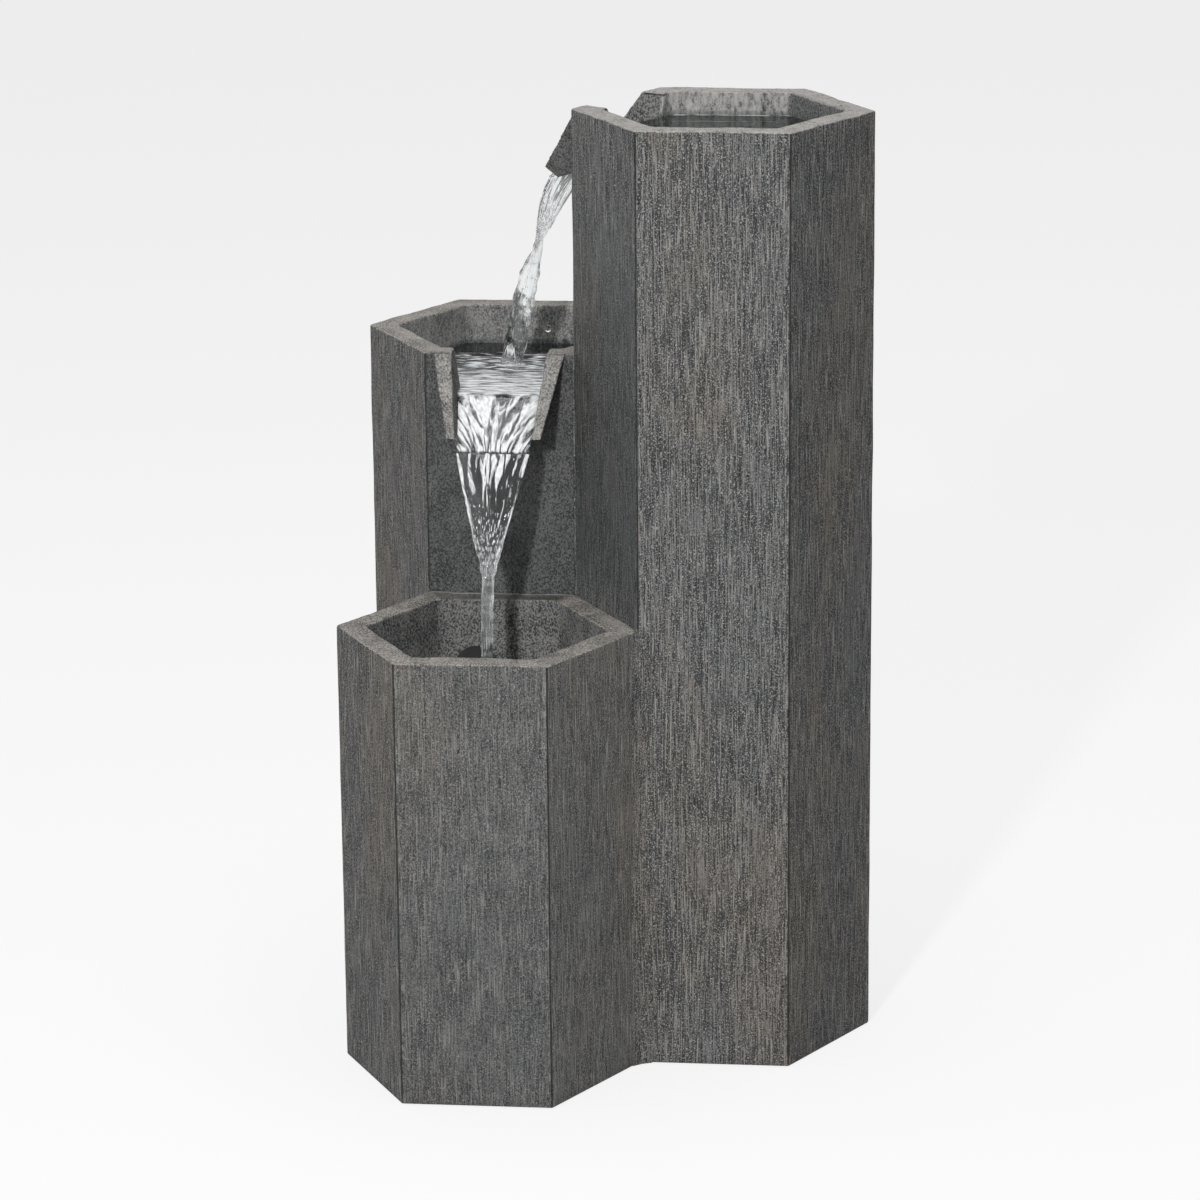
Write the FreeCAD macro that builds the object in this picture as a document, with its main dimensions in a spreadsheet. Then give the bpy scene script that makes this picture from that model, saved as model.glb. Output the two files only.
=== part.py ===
import FreeCAD, Part
import math
import os

import Sketcher
from FreeCAD import Placement, Rotation, Vector

# A garden fountain of three hexagonal cast columns that share their side faces.
# +X is right, +Y is back and +Z is up; the origin is on the ground under the middle of the plan.
# The low column stands front left, the middle one behind it and the tall one to their right.

doc = FreeCAD.newDocument("tiered_fountain")

SIZES = {
    # Columns, bowls and mortar
    "hex_side": 145,
    "low_height": 440,
    "middle_step": 240,
    "tall_step": 240,
    "shell_wall": 12,
    "bowl_wall": 13,
    "bowl_depth": 100,
    "bowl_floor": 13,
    "tub_floor_level": 30,
    "tub_floor": 15,
    "mortar_leg": 9,
    # Chutes
    "sill_depth": 44,
    "spout_margin": 7.5,
    "spout_cheek": 19,
    "spout_tip_cheek": 10.5,
    "spout_draw": 8.5,
    "top_reach": 51,
    "top_drop": 66,
    "middle_reach": 57,
    "middle_drop": 74.5,
    "spout_nose": 11,
    "spout_floor": 7,
    "spout_heel": 17,
    # Fits
    "fit_gap": 0.3,
    "running_gap": 0.05,
    "cut_margin": 2,
    # Hose, sleeves and clamps
    "hose_bore": 12.7,
    "hose_wall": 2,
    "hose_bend": 60,
    "hose_straight": 20,
    "hose_depth": 70,
    "hose_offset": 23,
    "barb_wall": 1.5,
    "sleeve_web": 1.3,
    "sleeve_brim": 4,
    "sleeve_lip": 3,
    "cord_bore": 6.5,
    "clamp_width": 9,
    "clamp_thickness": 1.2,
    "clamp_lug": 7,
    # Inlet fitting of the top bowl
    "inlet_body": 26,
    "inlet_brim": 9,
    "inlet_flange_height": 4,
    "inlet_tail": 3,
    "barb_length": 28,
    "gasket_height": 2,
    "nut_wall": 6,
    "nut_height": 10,
    # Drain and cord hole
    "drain_rise": 13,
    "drain_bore": 16,
    "drain_wall": 4,
    "drain_brim": 6,
    "drain_lip": 3,
    "plug_length": 24,
    "plug_head": 26,
    "plug_head_height": 5,
    "plug_grip": 12,
    "plug_grip_width": 6,
    "plug_grip_span": 20,
    "cord_level": 40,
    "grommet_neck": 20,
    "grommet_brim": 4,
    "grommet_lip": 3,
    # Pump body
    "pump_width": 56,
    "pump_wall": 3,
    "pump_front_wall": 8,
    "can_bore": 22.5,
    "can_wall": 1.5,
    "can_depth": 44,
    "can_room": 8.5,
    "gland_diameter": 13,
    "gland_height": 11,
    "gland_setback": 12,
    "cup_height": 9,
    "cup_diameter": 18,
    "cup_stem": 8,
    "cup_lip": 1.5,
    "cup_inset": 10,
    # Stator
    "core_gap": 3,
    "core_stack": 24,
    "core_leg": 11,
    "core_yoke": 7,
    "core_top": 13,
    "coil_gap": 2,
    "coil_side": 1,
    "coil_wall": 5,
    # Rotor
    "shaft_diameter": 3,
    "bush_diameter": 8,
    "bush_length": 5,
    "bush_end": 1,
    "end_play": 0.5,
    "rotor_gap": 1.25,
    "magnet_start": 3,
    "impeller_gap": 2.5,
    "impeller_plate": 2,
    "impeller_setback": 0.5,
    "blade_thickness": 2,
    "hub_diameter": 11,
    # Pump chamber
    "volute_bore": 34,
    "volute_wall": 2.5,
    "volute_depth": 18,
    "flange_thickness": 3,
    "eye_radius": 9,
    "eye_hole": 5,
    "outlet_boss": 17,
    "outlet_gap": 0.5,
    "outlet_height": 30,
    "nozzle_length": 24,
    "seal_width": 1.8,
    "seal_height": 1.5,
    "screw_diameter": 3,
    "screw_head": 5.5,
    "screw_head_height": 2,
    "screw_length": 9,
    "screw_inset": 6.5,
    # Intake screen and flow dial
    "screen_depth": 34,
    "screen_wall": 2.5,
    "slot_width": 3,
    "slot_pitch": 6.5,
    "slot_count": 7,
    "slot_border": 6,
    "slot_middle": 18,
    "dial_diameter": 24,
    "dial_thickness": 3,
    "dial_neck": 6,
    "dial_head": 9,
    "dial_head_height": 2,
    "dial_grip": 18,
    "dial_grip_width": 4,
    "dial_grip_height": 5,
}

LAYOUT = {
    # Plan of the columns: the tall one is on the X axis, the other two mirror each other about it
    "apothem": "=Sizes.hex_side * sqrt(3) / 2",
    "rim_wall": "=Sizes.shell_wall + Sizes.bowl_wall",
    "shell_inner": "=Sizes.hex_side - Sizes.shell_wall * 2 / sqrt(3)",
    "bowl_inner": "=Sizes.hex_side - rim_wall * 2 / sqrt(3)",
    "low_x": "=-0.75 * Sizes.hex_side",
    "low_y": "=-apothem",
    "middle_x": "=-0.75 * Sizes.hex_side",
    "middle_y": "=apothem",
    "tall_x": "=0.75 * Sizes.hex_side",
    "tall_y": "=0",
    "valley_x": "=0.25 * Sizes.hex_side",
    "left_valley_x": "=-1.25 * Sizes.hex_side",
    "low_top": "=Sizes.low_height",
    "middle_top": "=low_top + Sizes.middle_step",
    "tall_top": "=middle_top + Sizes.tall_step",
    # Half widths of a chute's opening and of its outside, which both draw in with depth
    "spout_half": "=Sizes.hex_side / 2 - Sizes.spout_margin",
    "opening_half": "=spout_half - Sizes.spout_cheek",
    "opening_taper": "=Sizes.spout_draw / Sizes.top_drop",
    "opening_above": "=opening_half + opening_taper * Sizes.cut_margin",
    "opening_sill": "=opening_half - opening_taper * Sizes.sill_depth",
    "spout_tip_half": "=opening_half - Sizes.spout_draw + Sizes.spout_tip_cheek",
    "spout_taper": "=(spout_half - spout_tip_half) / Sizes.top_drop",
    "heel_depth": "=Sizes.sill_depth + Sizes.spout_heel",
    # Hose and the sleeves that it passes through
    "hose_radius": "=Sizes.hose_bore / 2 + Sizes.hose_wall",
    "hose_hole": "=hose_radius + Sizes.fit_gap",
    "hose_level": "=low_top - Sizes.hose_depth",
    "barb_radius": "=Sizes.hose_bore / 2 - Sizes.fit_gap",
    "barb_bore": "=barb_radius - Sizes.barb_wall",
    "sleeve_radius": "=hose_hole + Sizes.cord_bore + 2 * Sizes.sleeve_web",
    "sleeve_flange": "=sleeve_radius + Sizes.sleeve_brim",
    "cord_offset": "=hose_hole + Sizes.sleeve_web + Sizes.cord_bore / 2",
    # Inlet fitting, from the floor of the top bowl
    "inlet_floor": "=tall_top - Sizes.bowl_depth",
    "inlet_top": "=Sizes.gasket_height + Sizes.inlet_flange_height",
    "inlet_flange": "=Sizes.inlet_body + 2 * Sizes.inlet_brim",
    "inlet_clear": "=Sizes.inlet_body + 2 * Sizes.fit_gap",
    "inlet_shoulder": "=Sizes.bowl_floor + Sizes.nut_height + Sizes.inlet_tail",
    "nut_across": "=Sizes.inlet_body + 2 * Sizes.nut_wall",
    "hose_top": "=inlet_floor - inlet_shoulder",
    # Drain and cord hole
    "drain_outer": "=Sizes.drain_bore + 2 * Sizes.drain_wall",
    "drain_flange": "=drain_outer + 2 * Sizes.drain_brim",
    "drain_level": "=Sizes.tub_floor_level + Sizes.drain_rise + drain_outer / 2",
    "grommet_flange": "=Sizes.grommet_neck + 2 * Sizes.grommet_brim",
    # Pump: its rotor lies along Y, with the front of its housing facing -Y
    "pump_x": "=low_x - Sizes.hose_offset",
    "pump_y": "=-(rim_wall + Sizes.hose_straight + Sizes.hose_bend)",
    "can_outer": "=Sizes.can_bore / 2 + Sizes.can_wall",
    "coil_height": "=Sizes.core_yoke + 2 * (Sizes.coil_wall + Sizes.fit_gap)",
    "core_bottom": "=can_outer + Sizes.coil_gap + coil_height - Sizes.coil_wall - Sizes.fit_gap",
    "axis_height": "=Sizes.pump_wall + Sizes.fit_gap + coil_height + Sizes.coil_gap + can_outer",
    "drum_radius": "=Sizes.volute_bore / 2 + Sizes.volute_wall",
    "screen_inset": "=Sizes.screen_wall + Sizes.fit_gap",
    "pump_height": "=axis_height + drum_radius + screen_inset",
    "pump_length": "=Sizes.can_depth + Sizes.can_wall + Sizes.can_room",
    "pump_bottom": "=Sizes.tub_floor_level + Sizes.cup_height",
    "pump_top": "=pump_bottom + pump_height",
    "axis_z": "=pump_bottom + axis_height",
    "front_y": "=pump_y + Sizes.outlet_boss / 2 + Sizes.outlet_gap",
    "back_y": "=front_y + pump_length",
    "core_width": "=Sizes.pump_width - 2 * (Sizes.pump_wall + Sizes.core_gap)",
    "core_window": "=core_width - 2 * Sizes.core_leg",
    "core_y": "=front_y + Sizes.pump_front_wall + Sizes.coil_wall + 2 * Sizes.fit_gap",
    "hose_start": "=axis_z + Sizes.outlet_height",
    "seal_inner": "=Sizes.volute_bore + 2 * Sizes.fit_gap",
    "seal_outer": "=seal_inner + 2 * Sizes.seal_width",
    "screen_front_y": "=front_y - Sizes.screen_depth",
    # Rotor between its two bushes
    "rotor_bore": "=Sizes.shaft_diameter + 2 * Sizes.running_gap",
    "front_bush_y": "=front_y - Sizes.volute_depth - Sizes.bush_end",
    "rear_bush_y": "=front_y + Sizes.can_depth - Sizes.bush_length",
    "blade_front_y": "=front_bush_y + Sizes.bush_length + Sizes.end_play",
    "blade_height": "=front_y - Sizes.impeller_setback - Sizes.impeller_plate - blade_front_y",
    "impeller_diameter": "=Sizes.volute_bore - 2 * Sizes.impeller_gap",
    "magnet_diameter": "=Sizes.can_bore - 2 * Sizes.rotor_gap",
    "magnet_length": "=rear_bush_y - Sizes.end_play - front_y - Sizes.magnet_start",
}

UP = Vector(0, 0, 1)
BACK = Vector(0, 1, 0)
FRONT = Vector(0, -1, 0)
ORIGIN = ("0", "0", "0")
nodes = {}

# The middle chute is the longer one. Each has a nose, and a floor that slopes from the sill to it.
for chute in ("top", "middle"):
    LAYOUT.update(
        {
            f"{chute}_nose_depth": f"=Sizes.{chute}_drop + Sizes.spout_nose",
            f"{chute}_nose_reach": f"=Sizes.{chute}_reach - Sizes.spout_nose",
            f"{chute}_lip_depth": f"={chute}_nose_depth - Sizes.spout_floor",
            f"{chute}_slope": f"=({chute}_lip_depth - Sizes.sill_depth) / {chute}_nose_reach",
            f"{chute}_end": f"=Sizes.{chute}_reach + Sizes.cut_margin",
            f"{chute}_end_depth": f"=Sizes.sill_depth + {chute}_slope * {chute}_end",
            f"{chute}_end_half": f"=opening_half - opening_taper * {chute}_end_depth",
            f"{chute}_below": f"={chute}_nose_depth + Sizes.cut_margin",
            f"{chute}_below_half": f"=spout_half - spout_taper * {chute}_below",
        }
    )


def direction(degrees):
    """Level direction at an angle from +X."""
    return Vector(math.cos(math.radians(degrees)), math.sin(math.radians(degrees)), 0)


def fill_sheet(name, cells):
    """A sheet with one named cell to a row."""
    sheet = doc.addObject("Spreadsheet::Sheet", name)
    for row, (alias, content) in enumerate(cells.items(), start=1):
        sheet.set(f"A{row}", str(content))
        sheet.setAlias(f"A{row}", alias)
    doc.recompute()
    return sheet


sizes = fill_sheet("Sizes", SIZES)
layout = fill_sheet("Layout", LAYOUT)


def amount(expression):
    """Present value of an expression over the sheets."""
    return float(sizes.evalExpression(expression))


def place(thing, spot, turn=None):
    """Put a thing at a spot given by three expressions, turned by a fixed rotation."""
    thing.Placement = Placement(Vector(), turn or Rotation())
    for axis, expression in zip("xyz", spot):
        if expression != "0":
            thing.setExpression(f"Placement.Base.{axis}", expression)
    return thing


def primitive(kind, spot=ORIGIN, turn=None, **measures):
    """One of the plain solids, with its measures tied to the sheets."""
    thing = doc.addObject(f"Part::{kind}", kind.lower())
    for measure, expression in measures.items():
        thing.setExpression(measure, expression)
    return place(thing, spot, turn)


def rod(diameter, length, spot=ORIGIN, along=UP):
    """Round rod that starts at a spot and runs along a direction."""
    turn = Rotation(UP, along)
    return primitive("Cylinder", spot, turn, Radius=f"({diameter}) / 2", Height=length)


def block(width, depth, height, spot, turn=None):
    """Box centred on its spot in width, starting there in depth and height."""
    x, y, z = spot
    return primitive(
        "Box",
        (f"{x} - ({width}) / 2", y, z),
        turn,
        Length=width,
        Width=depth,
        Height=height,
    )


def combine(kind, first, *others):
    """Fuse or cut solids one after the other."""
    for other in others:
        result = doc.addObject(f"Part::{kind}", kind.lower())
        result.Base = first
        result.Tool = other
        result.Refine = True
        first = result
    return first


def node(label, thing):
    """Name a finished piece."""
    thing.Label = label
    nodes[label] = thing
    return thing


def group(label, members):
    """Like pieces that share one name, each a solid of its own."""
    bundle = doc.addObject("Part::Compound", "bundle")
    bundle.Links = members
    return node(label, bundle)


def new_body(spot=ORIGIN, turn=None):
    """Body for sketched features, at a spot."""
    return place(doc.addObject("PartDesign::Body", "body"), spot, turn)


def outline(body, plane, *rings, offset=None):
    """Sketch of closed straight outlines, with every corner tied to the sheets."""
    sketch = body.newObject("Sketcher::SketchObject", "outline")
    support = next(part for part in body.Origin.OriginFeatures if part.Role == plane)
    sketch.AttachmentSupport = [(support, "")]
    sketch.MapMode = "FlatFace"
    if offset:
        sketch.setExpression("AttachmentOffset.Base.z", offset)
    for corners in rings:
        spots = [Vector(amount(across), amount(up), 0) for across, up in corners]
        edges = []
        for start, end in zip(spots, spots[1:] + spots[:1]):
            edges.append(sketch.addGeometry(Part.LineSegment(start, end), False))
        for edge, following in zip(edges, edges[1:] + edges[:1]):
            sketch.addConstraint(Sketcher.Constraint("Coincident", edge, 2, following, 1))
        for edge, spot, corner in zip(edges, spots, corners):
            tie_corner(sketch, edge, spot, corner)
    return sketch


def tie_corner(sketch, edge, spot, corner):
    """Tie the start of an edge to its two expressions, or to an axis where one is zero."""
    for kind, axis, number, expression in zip(("DistanceX", "DistanceY"), (-2, -1), spot, corner):
        if expression == "0":
            sketch.addConstraint(Sketcher.Constraint("PointOnObject", edge, 1, axis))
        else:
            place_in_list = sketch.addConstraint(Sketcher.Constraint(kind, -1, 1, edge, 1, number))
            sketch.setExpression(f"Constraints[{place_in_list}]", expression)


def feature(body, kind, sketch, **measures):
    """Add a sketched feature to a body, with its measures tied to the sheets."""
    added = body.newObject(f"PartDesign::{kind}", kind.lower())
    added.Profile = sketch
    for measure, expression in measures.items():
        added.setExpression(measure, expression)
    return added


def turned(profile, spot=ORIGIN, along=UP):
    """Turned piece: a profile of radius and height pairs, spun about a direction at a spot."""
    body = new_body(spot, Rotation(UP, along))
    sketch = outline(body, "XZ_Plane", profile)
    spin = feature(body, "Revolution", sketch)
    spin.ReferenceAxis = (sketch, ["V_Axis"])
    return body


def hexagon(radius, column, bottom, top):
    """Hexagonal prism about a column's centre line, between two levels."""
    spot = (f"Layout.{column}_x", f"Layout.{column}_y", bottom)
    return primitive("Prism", spot, Circumradius=radius, Height=f"{top} - ({bottom})")


# Cutters that pass through more than one wall

def notch(spot, degrees):
    """Opening for a chute, through both walls of a rim, down to the sill."""
    outward = direction(degrees)
    turn = Rotation(direction(degrees + 90), UP, outward, "XYZ")
    inward = "-(Layout.rim_wall + Sizes.cut_margin)"
    return primitive(
        "Wedge",
        spot,
        turn,
        Xmin="-Layout.opening_sill",
        Xmax="Layout.opening_sill",
        X2min="-Layout.opening_above",
        X2max="Layout.opening_above",
        Ymin="-Sizes.sill_depth",
        Ymax="Sizes.cut_margin",
        Zmin=inward,
        Z2min=inward,
        Zmax="Sizes.cut_margin",
        Z2max="Sizes.cut_margin",
    )


# The tall column's chute points at the middle column and the middle one's at the low column.
TOP_SPOUT_ANGLE = 150
MIDDLE_SPOUT_ANGLE = 270
top_spout_spot = ("0", "Layout.apothem / 2", "Layout.tall_top")
middle_spout_spot = ("Layout.middle_x", "0", "Layout.middle_top")
top_notch = notch(top_spout_spot, TOP_SPOUT_ANGLE)
middle_notch = notch(middle_spout_spot, MIDDLE_SPOUT_ANGLE)

basin_hole = rod(
    "2 * Layout.sleeve_radius",
    "Layout.rim_wall + Sizes.shell_wall + 2 * Sizes.cut_margin",
    ("Layout.pump_x", "-Layout.rim_wall - Sizes.cut_margin", "Layout.hose_level"),
    BACK,
)

# Where the hose crosses from the middle column into the tall one it runs square to their wall.
CROSSING_ANGLE = TOP_SPOUT_ANGLE + 180
crossing = direction(CROSSING_ANGLE)


def along_crossing(distance):
    """Spot on the hose's crossing run, at a distance past the shared face."""
    return (
        f"({distance}) * cos({CROSSING_ANGLE})",
        f"Layout.apothem / 2 + ({distance}) * sin({CROSSING_ANGLE})",
        "Layout.hose_level",
    )


riser_hole = rod(
    "2 * Layout.sleeve_radius",
    "2 * Sizes.shell_wall + 2 * Sizes.cut_margin",
    along_crossing("-Sizes.shell_wall - Sizes.cut_margin"),
    crossing,
)

DRAIN_ANGLE = 150
drain = direction(DRAIN_ANGLE)


def along_drain(distance):
    """Spot on the drain's centre line, at a distance out of the low column's face."""
    return (
        f"Layout.low_x + (Layout.apothem + {distance}) * cos({DRAIN_ANGLE})",
        f"Layout.low_y + (Layout.apothem + {distance}) * sin({DRAIN_ANGLE})",
        "Layout.drain_level",
    )


drain_hole = rod(
    "Layout.drain_outer + 2 * Sizes.fit_gap",
    "Layout.rim_wall + 2 * Sizes.cut_margin",
    along_drain("-Layout.rim_wall - Sizes.cut_margin"),
    drain,
)


def through_back(diameter, start):
    """Round cutter through the middle column's back face, from a distance inside it."""
    spot = ("Layout.middle_x", f"Layout.middle_y + Layout.apothem - ({start})", "Sizes.cord_level")
    return rod(f"{diameter} + 2 * Sizes.fit_gap", f"{start} + Sizes.cut_margin", spot, BACK)


# The cord's grommet lies flush in a sunk seat.
cord_hole = through_back("Sizes.grommet_neck", "Sizes.shell_wall + Sizes.cut_margin")
cord_seat = through_back("Layout.grommet_flange", "Sizes.grommet_lip")

inlet_hole = rod(
    "Layout.inlet_clear",
    "Sizes.bowl_floor + 2 * Sizes.cut_margin",
    (
        "Layout.tall_x",
        "Layout.tall_y",
        "Layout.inlet_floor - Sizes.bowl_floor - Sizes.cut_margin",
    ),
)


# Cast pieces

def column(name, *cutters):
    """Hollow hexagonal shell, open at both ends."""
    height = f"Layout.{name}_top"
    outside = hexagon("Sizes.hex_side", name, "0", height)
    inside = hexagon("Layout.shell_inner", name, "-Sizes.cut_margin", f"{height} + Sizes.cut_margin")
    return node(f"{name}_column", combine("Cut", outside, inside, *cutters))


def bowl(label, name, floor_level, floor, *cutters):
    """Hexagonal bowl that fills the top of a column's shell."""
    height = f"Layout.{name}_top"
    outside = hexagon("Layout.shell_inner", name, f"{floor_level} - {floor}", height)
    inside = hexagon("Layout.bowl_inner", name, floor_level, f"{height} + Sizes.cut_margin")
    return node(label, combine("Cut", outside, inside, *cutters))


column("low", basin_hole, drain_hole)
column("middle", middle_notch, basin_hole, riser_hole, cord_hole, cord_seat)
column("tall", top_notch, riser_hole)
bowl("reservoir_tub", "low", "Sizes.tub_floor_level", "Sizes.tub_floor", basin_hole, drain_hole)
bowl("middle_bowl", "middle", "Layout.middle_top - Sizes.bowl_depth", "Sizes.bowl_floor", middle_notch)
bowl("top_bowl", "tall", "Layout.inlet_floor", "Sizes.bowl_floor", top_notch, inlet_hole)


def spout(chute, spot, degrees):
    """Chute with two cheeks that slope down and draw in towards its nose."""
    body = new_body(spot, Rotation(UP, degrees))
    side = outline(
        body,
        "XZ_Plane",
        [
            ("0", "0"),
            (f"Sizes.{chute}_reach", f"-Sizes.{chute}_drop"),
            (f"Layout.{chute}_nose_reach", f"-Layout.{chute}_nose_depth"),
            ("0", "-Layout.heel_depth"),
        ],
    )
    wedge = feature(body, "Pad", side, Length="2 * Layout.spout_half")
    wedge.SideType = "Symmetric"
    beyond = "Layout.spout_half + Sizes.cut_margin"
    waste = [
        [
            (f"{sign}Layout.spout_half", "0"),
            (f"{sign}({beyond})", "0"),
            (f"{sign}({beyond})", f"-Layout.{chute}_below"),
            (f"{sign}Layout.{chute}_below_half", f"-Layout.{chute}_below"),
        ]
        for sign in ("", "-")
    ]
    taper = feature(body, "Pocket", outline(body, "YZ_Plane", *waste))
    taper.SideType = "Symmetric"
    taper.Type = "ThroughAll"
    start = [
        ("-Layout.opening_above", "Sizes.cut_margin"),
        ("Layout.opening_above", "Sizes.cut_margin"),
        ("Layout.opening_sill", "-Sizes.sill_depth"),
        ("-Layout.opening_sill", "-Sizes.sill_depth"),
    ]
    end = [
        ("-Layout.opening_above", "Sizes.cut_margin"),
        ("Layout.opening_above", "Sizes.cut_margin"),
        (f"Layout.{chute}_end_half", f"-Layout.{chute}_end_depth"),
        (f"-Layout.{chute}_end_half", f"-Layout.{chute}_end_depth"),
    ]
    channel = feature(body, "SubtractiveLoft", outline(body, "YZ_Plane", start))
    channel.Sections = [outline(body, "YZ_Plane", end, offset=f"Layout.{chute}_end")]
    channel.Ruled = True
    body.Tip = channel
    return node(f"{chute}_spout", body)


spout("top", top_spout_spot, TOP_SPOUT_ANGLE)
spout("middle", middle_spout_spot, MIDDLE_SPOUT_ANGLE)


def mortar_bead(spot, degrees, height):
    """Bead in the valley between two columns, with a leg on each face."""
    body = new_body(spot, Rotation(UP, degrees))
    half = "Sizes.mortar_leg * sqrt(3) / 2"
    corners = [("0", "0"), ("Sizes.mortar_leg / 2", f"-{half}"), ("Sizes.mortar_leg / 2", half)]
    feature(body, "Pad", outline(body, "XY_Plane", corners), Length=height)
    return body


FRONT_VALLEY_ANGLE = 300
BACK_VALLEY_ANGLE = 60
LEFT_VALLEY_ANGLE = 180
front_valley = ("Layout.valley_x", "-Layout.apothem", "0")
back_valley = ("Layout.valley_x", "Layout.apothem", "0")
left_valley = ("Layout.left_valley_x", "0", "0")
group(
    "corner_mortar",
    [
        mortar_bead(front_valley, FRONT_VALLEY_ANGLE, "Layout.low_top"),
        mortar_bead(back_valley, BACK_VALLEY_ANGLE, "Layout.middle_top"),
        mortar_bead(left_valley, LEFT_VALLEY_ANGLE, "Layout.low_top"),
    ],
)


# Hose, sleeves, clamps and inlet fitting

def sleeve(length, spot, along):
    """Rubber sleeve that lines a hole, with a flange at its start."""
    outside = "Layout.sleeve_radius - Sizes.fit_gap"
    profile = [
        ("Layout.hose_hole", "-Sizes.sleeve_lip"),
        ("Layout.sleeve_flange", "-Sizes.sleeve_lip"),
        ("Layout.sleeve_flange", "0"),
        (outside, "0"),
        (outside, length),
        ("Layout.hose_hole", length),
    ]
    return turned(profile, spot, along)


basin_sleeve = sleeve(
    "Layout.rim_wall + Sizes.shell_wall",
    ("Layout.pump_x", "-Layout.rim_wall", "Layout.hose_level"),
    BACK,
)
cord_way = rod(
    "Sizes.cord_bore",
    "Layout.rim_wall + Sizes.shell_wall + Sizes.sleeve_lip + 2 * Sizes.cut_margin",
    (
        "Layout.pump_x",
        "-Layout.rim_wall - Sizes.sleeve_lip - Sizes.cut_margin",
        "Layout.hose_level - Layout.cord_offset",
    ),
    BACK,
)
node("basin_sleeve", combine("Cut", basin_sleeve, cord_way))
node("riser_sleeve", sleeve("2 * Sizes.shell_wall", along_crossing("-Sizes.shell_wall"), crossing))


def hose_path():
    """Centre line: up from the pump, back through the basin wall, round, across and up."""
    pump_x, pump_y = layout.pump_x, layout.pump_y
    level = layout.hose_level
    bend = sizes.hose_bend
    # The two level runs meet where the line of the crossing reaches the pump's X.
    reach = (layout.tall_x - pump_x) / crossing.x
    meeting = Vector(layout.tall_x, layout.tall_y, level) - crossing * reach
    tangent = meeting.y - sizes.shell_wall - sizes.hose_straight
    corners = [
        (Vector(pump_x, pump_y, level), bend),
        (meeting, tangent),
        (Vector(layout.tall_x, layout.tall_y, level), bend),
    ]
    last = Vector(pump_x, pump_y, layout.hose_start)
    finish = Vector(layout.tall_x, layout.tall_y, layout.hose_top)
    edges = []
    turns = [corner for corner, _ in corners] + [finish]
    for (corner, cut), following in zip(corners, turns[1:]):
        arrive = (corner - last).normalize()
        leave = (following - corner).normalize()
        start, end = corner - arrive * cut, corner + leave * cut
        toward = (leave - arrive).normalize()
        half = arrive.getAngle(leave) / 2
        radius = cut / math.tan(half)
        middle = corner + toward * (radius / math.cos(half) - radius)
        edges.append(Part.LineSegment(last, start).toShape())
        edges.append(Part.Arc(start, middle, end).toShape())
        print(f"hose bend of {radius:.1f} mm, turning {math.degrees(2 * half):.0f} degrees")
        last = end
    edges.append(Part.LineSegment(last, finish).toShape())
    return Part.Wire(edges)


def hose():
    """Riser hose as one tube along its centre line."""
    path = hose_path()
    start = path.Vertexes[0].Point
    rings = []
    for radius in (layout.hose_radius, sizes.hose_bore / 2):
        ring = Part.Wire(Part.makeCircle(radius, start, UP))
        rings.append(path.makePipeShell([ring], True, True))
    thing = doc.addObject("Part::Feature", "hose")
    thing.Shape = rings[0].cut(rings[1])
    section = math.pi * (layout.hose_radius**2 - (sizes.hose_bore / 2) ** 2)
    print(f"hose volume {thing.Shape.Volume:.0f}, section by length {section * path.Length:.0f}")
    return node("riser_hose", thing)


hose()


def hose_clamp(x, y, z):
    """Band round the hose with the block of its tightening screw."""
    inner = "2 * (Layout.hose_radius + Sizes.fit_gap)"
    outer = f"{inner} + 2 * Sizes.clamp_thickness"
    band = rod(outer, "Sizes.clamp_width", (x, y, z))
    lug = block(
        "Sizes.clamp_lug * 2",
        "Sizes.clamp_lug",
        "Sizes.clamp_width",
        (x, f"{y} - Layout.hose_radius - Sizes.clamp_lug", z),
    )
    opening = rod(
        inner,
        "Sizes.clamp_width + 2 * Sizes.cut_margin",
        (x, y, f"{z} - Sizes.cut_margin"),
    )
    return combine("Cut", combine("Fuse", band, lug), opening)


group(
    "hose_clamps",
    [
        hose_clamp("Layout.pump_x", "Layout.pump_y", "Layout.hose_start + Sizes.clamp_width"),
        hose_clamp("Layout.tall_x", "Layout.tall_y", "Layout.hose_top - 2 * Sizes.clamp_width"),
    ],
)

inlet_spot = ("Layout.tall_x", "Layout.tall_y", "Layout.inlet_floor")
inlet_end = "-(Layout.inlet_shoulder + Sizes.barb_length)"
node(
    "inlet_fitting",
    turned(
        [
            ("Layout.barb_bore", "Layout.inlet_top"),
            ("Layout.inlet_flange / 2", "Layout.inlet_top"),
            ("Layout.inlet_flange / 2", "Sizes.gasket_height"),
            ("Sizes.inlet_body / 2", "Sizes.gasket_height"),
            ("Sizes.inlet_body / 2", "-Layout.inlet_shoulder"),
            ("Layout.barb_radius", "-Layout.inlet_shoulder"),
            ("Layout.barb_radius", inlet_end),
            ("Layout.barb_bore", inlet_end),
        ],
        inlet_spot,
    ),
)
inlet_x, inlet_y, inlet_z = inlet_spot
node(
    "inlet_gasket",
    combine(
        "Cut",
        rod("Layout.inlet_flange", "Sizes.gasket_height", inlet_spot),
        rod("Layout.inlet_clear", "Sizes.gasket_height", inlet_spot),
    ),
)
nut_bottom = f"{inlet_z} - Sizes.bowl_floor - Sizes.nut_height"
node(
    "inlet_nut",
    combine(
        "Cut",
        primitive(
            "Prism",
            (inlet_x, inlet_y, nut_bottom),
            Circumradius="Layout.nut_across / sqrt(3)",
            Height="Sizes.nut_height",
        ),
        rod("Layout.inlet_clear", "Sizes.nut_height", (inlet_x, inlet_y, nut_bottom)),
    ),
)


# Drain and cord hole

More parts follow.
